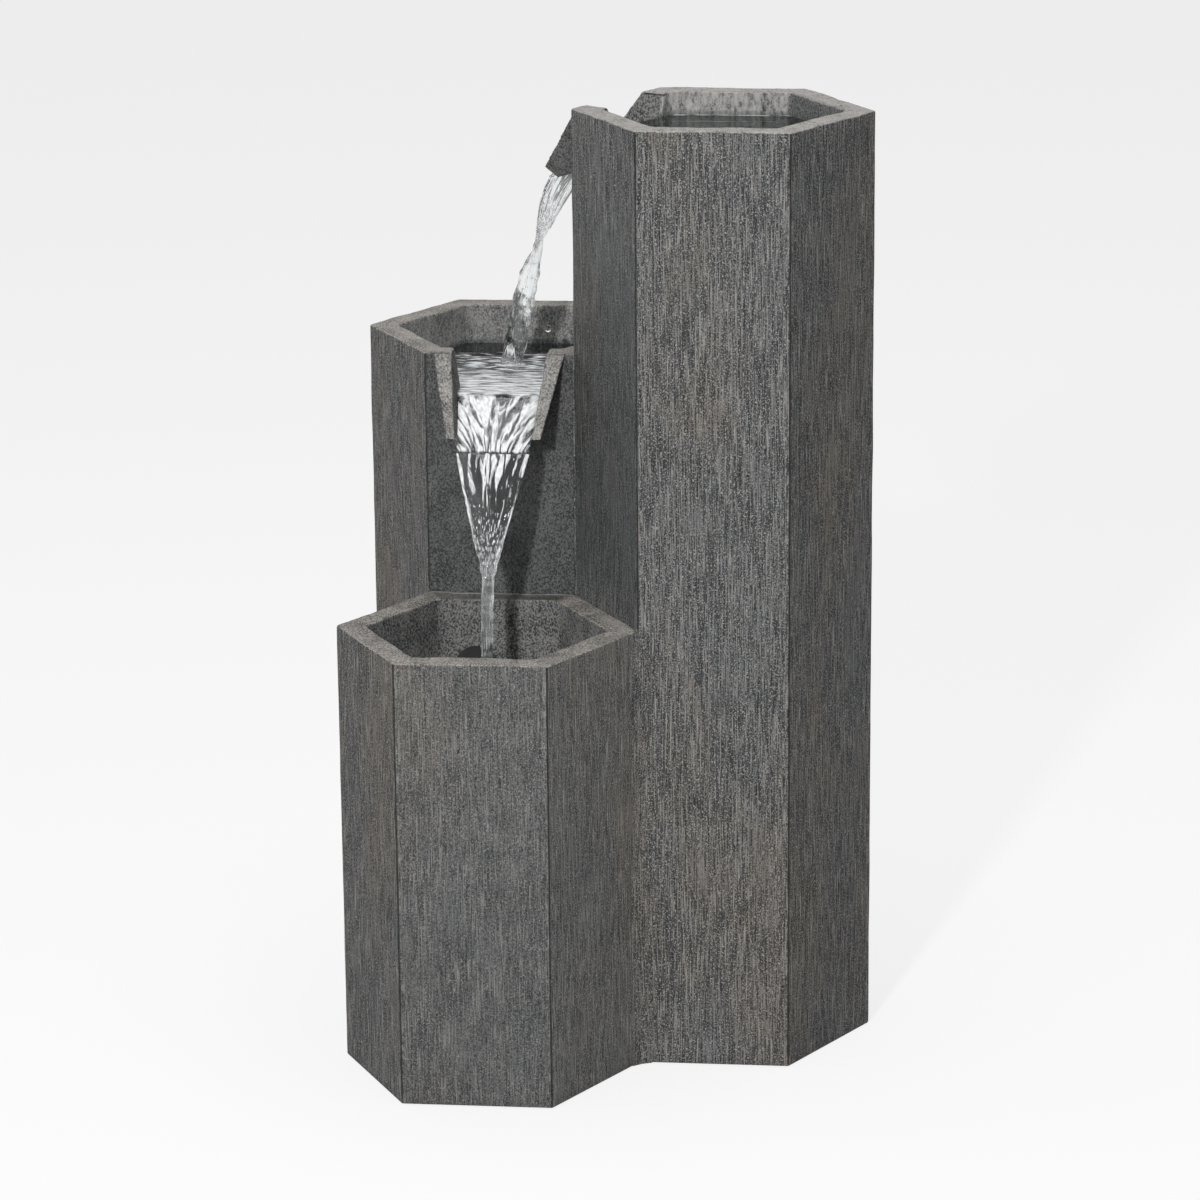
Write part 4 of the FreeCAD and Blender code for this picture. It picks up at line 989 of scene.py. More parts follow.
def damp_and_painted_shade(column, where):
    """Share of the damp tint on an outer face: damp beside the lower fall, and painted shade and shadow."""
    # Low front: darker with the damp tint, more so towards the bottom.
    if column is LOW and where.face == FRONT:
        return blend(0.36, 0.45, ease(where.below, 0.05, 0.30))
    # Middle front: damp and painted shade all over, and a painted shadow of the lower fall to its right and
    # lower down.
    if column is MIDDLE and where.face == FRONT:
        right = ease(where.along, 0.0, 0.03)
        return 0.75 + 0.25 * right * ease(where.z, column.top - 0.08, column.top - 0.16)
    # Tall front-left face: painted shade, darker in a band from below its top down to the low column's top.
    if column is TALL and where.face == FRONT_LEFT:
        shade_band = ease(where.below, 0.04, 0.20) * ease(where.z, LOW.top - 0.05, LOW.top + 0.1)
        return blend(0.4, 0.75, shade_band)
    # Tall front-right face: painted shade, darker all over as the side turned from the key lamp.
    if column is TALL and where.face == FRONT_RIGHT:
        return 0.36
    return 0.0


def mottled(column, where):
    """How far an outer face has lost its combing."""
    if where.face != FRONT or column is TALL:
        return 0.0
    return 0.6 if column is MIDDLE else 0.46


def in_opening(settings, column, where):
    """How far a point lies on the cut faces of a chute's opening."""
    if where.face != column.notch:
        return 0.0
    side = ease(abs(where.along), settings.opening_half + 0.008, settings.opening_half + 0.004)
    return side * (ease(where.below, 0.001, 0.005) * ease(where.inset, 0.0002, 0.002))


def marks_at(where, settings, column, water_level, lime):
    """How bare, uncombed, creased, chipped, wet and limed a casting is at one point, with painted light and
    shade.
    """
    rim_wall = column.seam + settings.bowl_wall
    near_top = ease(where.below, *NEAR_TOP)
    # Upward faces near the top take the pale rim colour and lime: bare cement and lime, and also painted
    # top light.
    top = ease(where.up, *LEVEL_TOP) * near_top
    outside = ease(where.inset, *OUTSIDE)
    inside = ease(where.inset, rim_wall - 0.006, rim_wall - 0.002)
    free = outside * ease(where.z, where.bonded - LINE_BLUR, where.bonded + LINE_BLUR)
    opening = in_opening(settings, column, where)
    sill = opening * ease(where.below, settings.sill_depth - 0.012, settings.sill_depth - 0.003)
    corner_line = free * ease(where.corner, *CORNER_LINE) * ease(where.up, *UPRIGHT)
    rounded = ease(where.up, *EDGE_START) * ease(where.up, *EDGE_END) * near_top
    wet = max(damp_and_painted_shade(column, where) * outside, 0.9 * sill)
    if water_level:
        wet = max(wet, inside * ease(where.z, water_level + DAMP_OVER, water_level - DAMP_UNDER))
    dry = ease(where.z, water_level - LINE_BLUR, water_level + LINE_BLUR)
    painted_light = 0.0
    if column is TALL:
        dry = blend(0.8, 1.0, dry)
    # Inside the top bowl's back-right wall: darkened and kept free of lime, as painted shade.
    if column is TALL and where.face == BACK_RIGHT:
        dry *= 0.1
        wet = max(wet, 0.55 * inside)
    # Low back: the rim is damp under the lower fall; the pale line along its edge at the middle column is a
    # painted highlight.
    if column is LOW and where.face == BACK:
        wet = max(wet, 0.75 * top * ease(where.inset, *WET_RIM))
        painted_light = near_top * outside
    # Low front-right face: lightened with lime colour, as painted light.
    if column is LOW and where.face == FRONT_RIGHT:
        painted_light = 0.15 * outside
    return Marks(
        rim=top * (1 - opening),
        rough=max(inside, opening, mottled(column, where) * outside),
        crease=max(corner_line, 4 * opening * (1 - opening)),
        edge=max(free * ease(where.corner, *CORNER_CHIPS), rounded),
        wet=wet,
        lime=max(lime * max(inside * dry, top), painted_light),
    )


def paint_casting(piece, settings, column, water_level, lime):
    """Paint where a casting is bare, uncombed, creased, chipped, wet or limed, and where light and shade
    are painted.
    """
    places = [locate(vertex, column) for vertex in piece.data.vertices]
    paint_marks(piece, [marks_at(where, settings, column, water_level, lime) for where in places])


class FOUNTAIN_OT_columns(bpy.types.Operator):
    """Make the three combed column shells"""

    bl_idname = "fountain.columns"
    bl_label = "Columns"

    def execute(self, context):
        settings = context.scene.fountain_casting
        material = cement(settings, "combed_cement")
        holes = fitting_holes()
        for column in COLUMNS:
            node = f"{column.name}_column"
            casting = Casting(settings, column)
            mesh = skin(node, casting.rings(casting.shell_levels()), True)
            piece = add_piece(f"{column.name}_shell", mesh, material)
            settle(piece)
            drill(piece, holes[node])
            settle(piece)
            # Lime on the shells' tops; on the tall column it is raised, partly as painted top light.
            paint_casting(piece, settings, column, 0.0, 0.8 if column is TALL else 0.1)
            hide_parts(node)
        return {"FINISHED"}


# Hole for the inlet fitting in the top bowl's floor.
INLET_RADIUS = 0.0133


class FOUNTAIN_OT_bowls(bpy.types.Operator):
    """Make the two bowls and the reservoir tub inside the columns"""

    bl_idname = "fountain.bowls"
    bl_label = "Bowls and tub"

    def execute(self, context):
        settings = context.scene.fountain_casting
        water = context.scene.fountain_water
        material = bpy.data.materials["combed_cement"]
        holes = fitting_holes()
        parts = (
            (LOW, settings.tub_floor, water.low_depth, 0.0),
            (MIDDLE, settings.bowl_floor, water.middle_depth, 0.3),
            (TALL, settings.bowl_floor, water.top_depth, 0.8),
        )
        for column, floor, depth, lime in parts:
            casting = Casting(settings, column)
            rings = casting.rings(casting.bowl_levels(floor))
            if column is TALL:
                ends = (column.insert_bottom, column.insert_bottom + floor)
                under, over = [casting.round_ring(INLET_RADIUS, height) for height in ends]
                rings = [under, *rings, over]
            mesh = skin(column.insert, rings, column is TALL)
            piece = add_piece(f"{column.name}_basin", mesh, material)
            settle(piece)
            if column.insert in holes:
                drill(piece, holes[column.insert])
                settle(piece)
            paint_casting(piece, settings, column, column.top - depth, lime)
            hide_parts(column.insert)
        return {"FINISHED"}


# Half width that a chute's channel is within at its lip, and its outside is not.
CHANNEL_HALF = 0.040


class Chute:
    """Place and line of one chute: outward, across and down from the middle of its rim."""

    def __init__(self, column, node):
        self.node = node
        self.column = column
        self.outward = NORMALS[column.notch]
        self.across = ALONGS[column.notch]
        self.root = column.centre + self.outward * column.apothem + UP * column.top
        points = [self.local(vertex.co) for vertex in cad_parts[node].data.vertices]
        _, side, self.drop = max(points)
        self.tip_half = abs(side)
        channel = [point for point in points if abs(point[1]) < CHANNEL_HALF]
        self.lip_reach, _, self.lip_drop = max(channel, key=lambda point: point[2])

    def spot(self, out, side, down):
        """Spot at distances out of the wall, to the side and below the rim."""
        return self.root + self.outward * out + self.across * side - UP * down

    def local(self, spot):
        """Distances out, to the side and down of a spot."""
        offset = spot - self.root
        return self.outward.dot(offset), self.across.dot(offset), -offset.z


TOP_CHUTE = Chute(TALL, "top_spout")
MIDDLE_CHUTE = Chute(MIDDLE, "middle_spout")
# Rounds of smoothing that wear a chute's edges, and each one's strength.
WEAR_ROUNDS = 5
WEAR_SHARE = 0.5
# Dips in a chute's faces: how many per metre, their depth, the grit's height, and their layers.
CHUTE_DIPS = 70
CHUTE_DIP = 0.0006
CHUTE_GRIT = 0.00035
CHUTE_LAYERS = (0.9, 2.0, 3)
# Points this near the wall are seated, this deep in it.
SEAT_REACH = 0.0012
SEAT_DEPTH = 0.0025
# Trim of the cheeks' ends: its slope, its depth, and how far above their tip it begins.
TRIM_SLOPE = 0.6
TRIM = 0.0012
TRIM_ABOVE = 0.002


class FOUNTAIN_OT_spouts(bpy.types.Operator):
    """Make the two rough chutes"""

    bl_idname = "fountain.spouts"
    bl_label = "Chutes"

    def execute(self, context):
        settings = context.scene.fountain_casting
        material = bpy.data.materials["combed_cement"]
        for chute in (TOP_CHUTE, MIDDLE_CHUTE):
            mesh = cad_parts[chute.node].data.copy()
            piece = add_piece(f"{chute.node}_cast", mesh, material)
            remesh = piece.modifiers.new("even", "REMESH")
            remesh.mode = "VOXEL"
            remesh.voxel_size = settings.voxel
            smooth = piece.modifiers.new("worn", "SMOOTH")
            smooth.factor = WEAR_SHARE
            smooth.iterations = WEAR_ROUNDS
            apply_modifiers(piece)
            self.roughen(piece, chute, settings)
            settle(piece, crease_angle=60)
            piece.data.materials.clear()
            piece.data.materials.append(material)
            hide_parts(chute.node)
        return {"FINISHED"}

    def roughen(self, piece, chute, settings):
        """Uneven the chute's faces, seat it on the wall, and paint its bare and wet places with painted top
        light and shade.
        """
        marks = []
        normals = [vertex.normal.copy() for vertex in piece.data.vertices]
        for vertex, normal in zip(piece.data.vertices, normals):
            out, side, down = chute.local(vertex.co)
            dips = noise.fractal(vertex.co * CHUTE_DIPS, *CHUTE_LAYERS)
            grit = noise.noise(vertex.co * GRIT)
            free = ease(out, 0.001, 0.004)
            vertex.co -= normal * (free * (CHUTE_DIP + CHUTE_DIP * dips + CHUTE_GRIT * grit))
            if out < SEAT_REACH:
                vertex.co -= chute.outward * SEAT_DEPTH
            narrowed = chute.tip_half - TRIM_SLOPE * (down - chute.drop) - TRIM
            if abs(side) > narrowed and down > chute.drop - TRIM_ABOVE:
                vertex.co += chute.across * (math.copysign(narrowed, side) - side)
            opening = settings.opening_half - down * settings.opening_draw / settings.spout_drop
            channel = ease(abs(side), opening + 0.001, opening - 0.0015)
            # Upward faces of the cheeks take the pale rim colour and lime, partly as painted top light;
            # downward faces take the damp tint, partly as painted shade.
            cheek = ease(normal.z, 0.2, 0.55) * (1 - channel)
            wet = max(channel, 0.55 * ease(normal.z, 0.3, 0.0))
            marks.append(
                Marks(rim=0.56 * cheek, rough=1.0, crease=0.0, edge=0.8 * cheek, wet=wet, lime=0.3 * cheek)
            )
        paint_marks(piece, marks)


# Legs of a mortar bead in its valley, how deep it is let into the walls, and where it thins out.
BEAD_LEG = 0.013
BEAD_SUNK = 0.002
BEAD_FADE = 0.03
# Steps of a bead up its valley and round its hollow, the hollow's share of a leg, and lumps per metre.
BEAD_STEP = 0.008
BEAD_ARC = 8
BEAD_HOLLOW = 0.26
BEAD_LUMPS = 30


class FOUNTAIN_OT_mortar(bpy.types.Operator):
    """Fill the valleys between the columns with smoothed mortar"""

    bl_idname = "fountain.mortar"
    bl_label = "Mortar"

    def execute(self, context):
        material = cement(context.scene.fountain_casting, "smoothed_mortar", combed=0.8)
        side = LOW.apothem / COS30
        valleys = (
            ("front_mortar", Vector((LOW.centre.x + side, LOW.centre.y, 0)), 300, LOW.top),
            ("back_mortar", Vector((MIDDLE.centre.x + side, MIDDLE.centre.y, 0)), 60, MIDDLE.top),
            ("left_mortar", Vector((LOW.centre.x - side / 2, 0, 0)), 180, LOW.top),
        )
        for name, corner, degrees, top in valleys:
            piece = add_piece(name, self.bead(name, corner, degrees, top), material)
            settle(piece, crease_angle=50)
            paint_marks(piece, [NO_MARKS] * len(piece.data.vertices))
        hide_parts("corner_mortar")
        return {"FINISHED"}

    def bead(self, name, corner, degrees, top):
        """Concave bead up a valley, thinning out at its top."""
        rings = []
        for height in spread(0.0, top, BEAD_STEP):
            thin = BEAD_LEG * (0.35 + 0.65 * ease(height, top, top - BEAD_FADE))
            reach = thin * (0.9 + 0.2 * noise.noise(Vector((height * BEAD_LUMPS, degrees, 0))))
            ends = [corner + direction(degrees + turn) * reach for turn in (-60, 60)]
            hollow = corner + direction(degrees) * (reach * BEAD_HOLLOW)
            ring = [corner - direction(degrees) * (BEAD_SUNK * 2)]
            ring.append(ends[0] + direction(degrees - 150) * BEAD_SUNK)
            for number in range(BEAD_ARC + 1):
                share = number / BEAD_ARC
                inward = 2 * share * (1 - share)
                ring.append(ends[0] * (1 - share) ** 2 + hollow * inward + ends[1] * share**2)
            ring.append(ends[1] + direction(degrees + 150) * BEAD_SUNK)
            rings.append([Vector((spot.x, spot.y, height)) for spot in ring])
        return skin(name, rings, False)


# Water

# A pool's mesh: every so many places round, shares of the way out, and steps over the sill.
POOL_SKIP = 3
POOL_MIDDLE = 0.04
POOL_STEP = 0.035
SILL_STEP = 0.2
# Overlap of a pool with its wall, in two steps, and its gap from the sides of an opening.
POOL_TUCK = 0.0008
POOL_SEAL = 0.0004
POOL_SIDE = 0.0045
# Rings round a fall: length, reach and wander; width of the swell, and the chop's features per metre.
RING_LENGTH = 0.0031
RING_REACH = 0.030
RING_WANDER = 26
SWELL_WIDTH = 0.012
CHOP_ACROSS = 24
CHOP_DEEP = 62
# Ranges over which foam comes on: round a fall, and outward from the middle bowl's back.
LANDING_FOAM = (0.034, 0.008)
BACK_FOAM = (-0.21, -0.16)
CHUTE_FOAM = (-0.10, -0.05)


class FOUNTAIN_OT_pools(bpy.types.Operator):
    """Make the skins of water in the two bowls and the basin"""

    bl_idname = "fountain.pools"
    bl_label = "Pools"

    def execute(self, context):
        casting = context.scene.fountain_casting
        water = context.scene.fountain_water
        material = pool_water(water)
        landings = (
            (TALL, water.top_depth, TALL.centre, 0.3),
            (MIDDLE, water.middle_depth, landing(TOP_CHUTE, water, MIDDLE.top - water.middle_depth), 1.0),
            (LOW, water.low_depth, landing(MIDDLE_CHUTE, water, LOW.top - water.low_depth), 1.0),
        )
        for column, depth, middle, rough in landings:
            shape = Casting(casting, column)
            level = column.top - depth
            top = self.skin_rings(shape, water, level, middle, rough)
            under = [[spot - UP * water.slab for spot in ring] for ring in top]
            piece = add_piece(f"{column.name}_pool", skin(column.name, under + top[::-1], False), material)
            settle(piece, crease_angle=60)
            foam_and_sheen_values = [self.foam_and_sheen(shape, vertex.co, middle, rough) for vertex in piece.data.vertices]
            paint(piece.data, "foam_and_sheen", foam_and_sheen_values)
        return {"FINISHED"}

    def foam_and_sheen(self, shape, spot, middle, rough):
        """How white a pool is: round its fall, across the middle bowl, and as a painted highlight along the
        top bowl's back wall.
        """
        reach = math.hypot(spot.x - middle.x, spot.y - middle.y)
        foam_and_sheen = rough * 0.6 * ease(reach, *LANDING_FOAM)
        # Along the top bowl's back wall: a painted highlight at the water line.
        if shape.column is TALL:
            wall = NORMALS[BACK].dot(spot - shape.column.centre)
            edge = shape.column.apothem - shape.rim_wall
            foam_and_sheen = max(foam_and_sheen, 0.58 * ease(wall, edge - 0.006, edge - 0.003))
        if shape.column is MIDDLE:
            out = MIDDLE_CHUTE.local(spot)[0]
            foam_and_sheen = max(foam_and_sheen, 0.46 * ease(out, *BACK_FOAM) + 0.16 * ease(out, *CHUTE_FOAM))
        return foam_and_sheen

    def skin_rings(self, shape, water, level, middle, rough):
        """Rings of the water's surface, from its middle out to the wall and over the sill."""
        places = shape.places[::POOL_SKIP]
        rings = []
        inner = shape.rim_wall - POOL_TUCK
        sill = shape.column.top - shape.settings.sill_depth + water.film
        reach = water.roll if stands_deep(shape.settings, water, shape.column.top - level) else inner
        for share in spread(POOL_MIDDLE, 1.0, POOL_STEP):
            ring = []
            for place in places:
                edge, _ = shape.plan(place, inner)
                spot = shape.column.centre + (edge - shape.column.centre) * share
                ring.append(self.rippled(spot, level, water, middle, rough))
            rings.append(ring)
        for share in spread(0.0, 1.0, SILL_STEP)[1:]:
            ring = []
            for place in places:
                over = place.face == shape.column.notch and place.turn == 0
                over = over and abs(place.along) < shape.settings.opening_half - POOL_SIDE
                spot, _ = shape.plan(place, inner - (reach if over else POOL_SEAL) * share)
                spot = self.rippled(spot, level, water, middle, rough)
                if over:
                    end = min(spot.z, max(sill, spot.z - water.roll))
                    spot.z = blend(spot.z, end, ease(share, 0.0, 1.0))
                ring.append(spot)
            rings.append(ring)
        return rings

    def rippled(self, spot, level, water, middle, rough):
        """Point of the surface with rings round the fall and a light chop."""
        reach = math.hypot(spot.x - middle.x, spot.y - middle.y)
        wander = 2.6 * noise.noise(spot * RING_WANDER)
        rings = math.cos(reach / RING_LENGTH + wander) * math.exp(-reach / RING_REACH)
        chop = noise.fractal(Vector((spot.x * CHOP_ACROSS, spot.y * CHOP_DEEP, 3.0)), *LAYERS)
        swell = 0.6 * math.exp(-((reach / SWELL_WIDTH) ** 2))
        return Vector((spot.x, spot.y, level + rough * water.ripple * (0.5 * rings + 0.6 * chop + swell)))


# Time between two steps of a fall.
FALL_TIME = 0.0012


def landing(chute, water, level):
    """Spot where a fall meets the water below it."""
    track = fall_track(chute, water, level)
    out, down = track[-1]
    return chute.spot(out, 0, down)


def fall_track(chute, water, level):
    """Line of a fall as distances out and down, in even steps of time, from the lip to a level."""
    slope = math.atan2(chute.lip_drop - chute_sill(), chute.lip_reach)
    end = chute.column.top - level
    track = []
    time = 0.0
    while True:
        out = chute.lip_reach + water.speed * math.cos(slope) * time
        down = chute.lip_drop + water.speed * math.sin(slope) * time + GRAVITY * time**2 / 2
        track.append((out, min(down, end)))
        if down >= end:
            return track
        time += FALL_TIME


def stands_deep(casting, water, depth):
    """Whether a pool stands so high over its chute's sill that more than a film runs over it."""
    return casting.sill_depth - depth > 2 * water.film


def chute_sill():
    """Depth of the chutes' sill below the rim."""
    return bpy.context.scene.fountain_casting.sill_depth


# Fall over which a sheet draws in, and shares of a round stream's thickness there and below.
Neck = namedtuple("Neck", "fall slim flare")
# A place down a fall: where it is, how far the water has fallen and drawn in, and its cross section.
Station = namedtuple("Station", "out down run fallen draw half thick roundness spread length")
# Where a film begins, behind the wall's face or in a deep pool, and how deep in that pool.
FILM_BEHIND = 0.004
FILM_IN_POOL = 0.006
FILM_SUNK = 0.003
# Step along a chute, reach at which its film lies on it, and the film's gap from the sides.
FILM_STEP = 0.0012
FILM_SETTLED = 0.010
FILM_GAP = 0.0004
# How far a stream dips into the pool below it.
STREAM_DIP = 0.004
# Half width of the streaks' pattern at the wall, and the share of it left at the lip.
STREAK_HALF = 0.040
STREAK_SHARE = 0.32
# Lengths of streaks and of a stream's lumps, height of the streaks, and sides of a cross section.
STREAK_LENGTH = 0.06
LUMP_LENGTH = 0.011
STREAK_HEIGHT = 0.0011
FALL_SIDES = 72
# Ranges in which water turns white: out from the wall's face, behind it, and down a sheet's middle.
LIP_WHITE = (0.002, 0.012)
SILL_WHITE = (-0.028, -0.006)
SHEET_WHITE = (0.055, 0.012)
# Fall over which the white of the film ends in the sheet.
WHITE_END = 0.0018
# What is painted on running water.
FLOW_MASKS = ("across", "run", "foam_and_sheen", "spray_and_glints")


class FOUNTAIN_OT_falls(bpy.types.Operator):
    """Make the two falls: a film on the chute, a sheet that draws in, and a stream"""

    bl_idname = "fountain.falls"
    bl_label = "Falls"

    def execute(self, context):
        casting = context.scene.fountain_casting
        water = context.scene.fountain_water
        material = running_water(water)
        top_neck = Neck(water.top_neck, 0.5, 2.4)
        low_neck = Neck(water.neck, 1.0, 1.0)
        parts = (
            ("top_fall", TOP_CHUTE, MIDDLE.top - water.middle_depth, water.top_depth, top_neck),
            ("middle_fall", MIDDLE_CHUTE, LOW.top - water.low_depth, water.middle_depth, low_neck),
        )
        for name, chute, level, start, neck in parts:
            rings = []
            masks = {mask: [] for mask in FLOW_MASKS}
            for station in self.stations(chute, casting, water, level, start, neck):
                ring = []
                for side, spot in self.section(chute, station):
                    ring.append(spot)
                    self.note(masks, station, side, water)
                rings.append(ring)
            piece = add_piece(name, skin(name, rings, False), material)
            ends = len(piece.data.vertices) - len(masks["run"])
            for mask, values in masks.items():
                paint(piece.data, mask, values + [0.0] * ends)
            settle(piece, crease_angle=70)
        return {"FINISHED"}

    def film_line(self, chute, casting, water, start):
        """Line of the film on a chute as distances out and down, up to the lip."""
        sill = casting.sill_depth
        slope = (chute.lip_drop - sill) / chute.lip_reach
        first, upper = -FILM_BEHIND, sill
        if stands_deep(casting, water, start):
            first = -FILM_IN_POOL - chute.column.seam - casting.bowl_wall
            upper = start + FILM_SUNK
        line = []
        for out in spread(first, chute.lip_reach, FILM_STEP)[:-1]:
            floor = sill + slope * max(out, 0.0) - water.film / 2
            line.append((out, blend(upper, floor, ease(out, first, FILM_SETTLED))))
        return line

    def stations(self, chute, casting, water, level, start, neck):
        """Places down a fall with the size of the water there."""
        film = self.film_line(chute, casting, water, start)
        track = fall_track(chute, water, level - STREAM_DIP)
        line = film + [(out, down - water.film / 2) for out, down in track]
        taper = casting.opening_draw / casting.spout_drop
        lip_half = casting.opening_half - taper * chute.lip_drop
        length = 0.0
        stations = []
        for number, (out, down) in enumerate(line):
            before = Vector(line[max(number - 1, 0)])
            after = Vector(line[min(number + 1, len(line) - 1)])
            length += (Vector((out, down)) - before).length
            fallen = max(0.0, down - chute.lip_drop)
            draw = min(1.0, max(0.0, fallen - water.sheet) / (neck.fall - water.sheet))
            half = casting.opening_half - taper * down - FILM_GAP
            thick = water.film / 2
            roundness = 0.0
            spread_half = STREAK_HALF * STREAK_SHARE ** (max(0.0, out) / chute.lip_reach)
            if number >= len(film):
                half = blend(lip_half, water.stream, draw)
                swell = ease(fallen, neck.fall * 0.9, neck.fall * 1.6)
                thick = blend(water.film / 2, water.stream * 0.85, ease(draw, 0.45, 1.0))
                thick *= blend(neck.slim, neck.flare, swell)
                roundness = ease(draw, 0.5, 1.0)
                if draw > 0:
                    spread_half = 0.5 * half
            run = (after - before).normalized()
            stations.append(
                Station(out, down, run, fallen, draw, half, thick, roundness, spread_half, length)
            )
        return stations

    def section(self, chute, station):
        """One cross section: flat with thick edges at first, then round, with streaks along it."""
        phase = station.length / STREAK_LENGTH
        flat = 1 - station.roundness
        ring = []
        for number in range(FALL_SIDES):
            turn = 2 * math.pi * number / FALL_SIDES
            side, rise = math.cos(turn), math.sin(turn)
            side = math.copysign(abs(side) ** blend(0.55, 1.0, station.roundness), side)
            flow = side * station.half / station.spread
            edge = blend(0.5 + 0.9 * abs(side) ** 3, 1.0, station.roundness)
            streak = noise.noise(Vector((flow * 6.5, phase, 2.0 + rise)))
            fine = noise.noise(Vector((flow * 15, phase * 2.1, 9.0 + rise)))
            lump = noise.noise(Vector((math.cos(turn), math.sin(turn), station.length / LUMP_LENGTH)))
            lift = rise * station.thick * edge * (1 + 0.4 * streak * flat + 0.35 * lump * station.roundness)
            lift += flat * STREAK_HEIGHT * (streak + 0.7 * fine)
            out = station.out + station.run.y * lift
            wide = side * station.half * (1 + 0.25 * station.roundness * lump)
            ring.append((side, chute.spot(out, wide, station.down - station.run.x * lift)))
        return ring

    def note(self, masks, station, side, water):
        """Note where the water streams, and how white it is: broken water, with painted reflection and
        glints.
        """
        draw = station.draw
        if draw == 0:
            foam_and_sheen = 0.50 + 0.10 * ease(station.out, *LIP_WHITE)
            foam_and_sheen *= ease(station.fallen, water.sheet, water.sheet - WHITE_END)
            foam_and_sheen *= ease(station.out, *SILL_WHITE)
            spray_and_glints = 0.1
        else:
            # White along a sheet's thick edges: painted highlight.
            rim = ease(abs(side), 0.86, 0.96) * (1 - station.roundness)
            middle = (1 - abs(side)) * ease(station.fallen, *SHEET_WHITE)
            foam_and_sheen = 0.25 + 0.40 * middle + 0.35 * rim + 0.04 * ease(draw, 0.6, 1.0)
            spray_and_glints = 0.22 + 0.24 * ease(draw, 0.2, 0.8) - 0.12 * ease(draw, 0.97, 1.0)
        masks["across"].append(side * station.half / station.spread)
        masks["run"].append(station.length)
        masks["foam_and_sheen"].append(foam_and_sheen)
        masks["spray_and_glints"].append(spray_and_glints)


# The flying drop: its place from where the upper fall lands, its radius, and its upper half's stretch.
DROP_PLACE = Vector((0.034, 0.030, 0.030))
DROP_RADIUS = 0.0032
DROP_STRETCH = 1.25
DROP_ROWS = 12
DROP_SIDES = 20


class FOUNTAIN_OT_drop(bpy.types.Operator):
    """Make the drop that flies off where the upper fall lands"""

    bl_idname = "fountain.drop"
    bl_label = "Drop"

    def execute(self, context):
        water = context.scene.fountain_water
        centre = landing(TOP_CHUTE, water, MIDDLE.top - water.middle_depth) + DROP_PLACE
        turns = [2 * math.pi * number / DROP_SIDES for number in range(DROP_SIDES)]
        rings = []
        for row in range(1, DROP_ROWS):
            tilt = math.pi * row / DROP_ROWS
            wide = math.sin(tilt)
            rise = -math.cos(tilt) * (DROP_STRETCH if row > DROP_ROWS / 2 else 1.0)
            ring = [Vector((math.cos(turn) * wide, math.sin(turn) * wide, rise)) for turn in turns]
            rings.append([centre + spot * DROP_RADIUS for spot in ring])
        drop = add_piece("drop_0", skin("drop", rings, False), bpy.data.materials["running_water"])
        settle(drop, crease_angle=80)
        for mask in FLOW_MASKS:
            paint(drop.data, mask, [0.0] * len(drop.data.vertices))
        return {"FINISHED"}


class FOUNTAIN_OT_fittings(bpy.types.Operator):
    """Finish the hose, the sleeves, the fittings and the pump"""

    bl_idname = "fountain.fittings"
    bl_label = "Hose and pump"

    def execute(self, context):
        tints = context.scene.fountain_fittings
        rubber = moulded("moulded_rubber", tints.rubber, 0.62, 700, 0.1)
        plastic = moulded("pump_plastic", tints.plastic, 0.42, 1100)
        steel = rolled("rolled_steel", tints.steel, (1, 1, 0.04))
        finishes = {
            rubber: (
                "basin_sleeve", "riser_sleeve", "inlet_gasket", "drain_plug", "cord_grommet",
                "pump_gland", "volute_seal", "suction_cups", "shaft_bushes",
            ),
            plastic: (
                "inlet_fitting", "inlet_nut", "drain_bush",
                "pump_housing", "pump_back_cover", "volute_cover",
            ),
            steel: ("hose_clamps", "pump_screws"),
            moulded("hose_vinyl", tints.hose, 0.34, 500): ("riser_hose",),
            moulded("screen_plastic", tints.screen, 0.45, 1000): ("intake_screen",),
            moulded("dial_plastic", tints.dial, 0.4, 1000): ("flow_dial",),
            moulded("impeller_plastic", tints.impeller, 0.38, 900): ("impeller",),
            rolled("core_sheets", tints.core, (1, 12, 1), 0.42): ("stator_core",),
            wound("copper_winding", tints.copper): ("stator_coil",),
            fired("ferrite", tints.ferrite): ("rotor_magnet",),
            fired("ground_ceramic", tints.ceramic): ("rotor_shaft",),
        }
        for material, nodes in finishes.items():
            for node in nodes:
                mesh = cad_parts[node].data
                mesh.materials.clear()
                mesh.materials.append(material)
        return {"FINISHED"}


# With so few bounces a lamp lights no wall through the clear water, which then casts its shadow.
LAMP_BOUNCES = 2


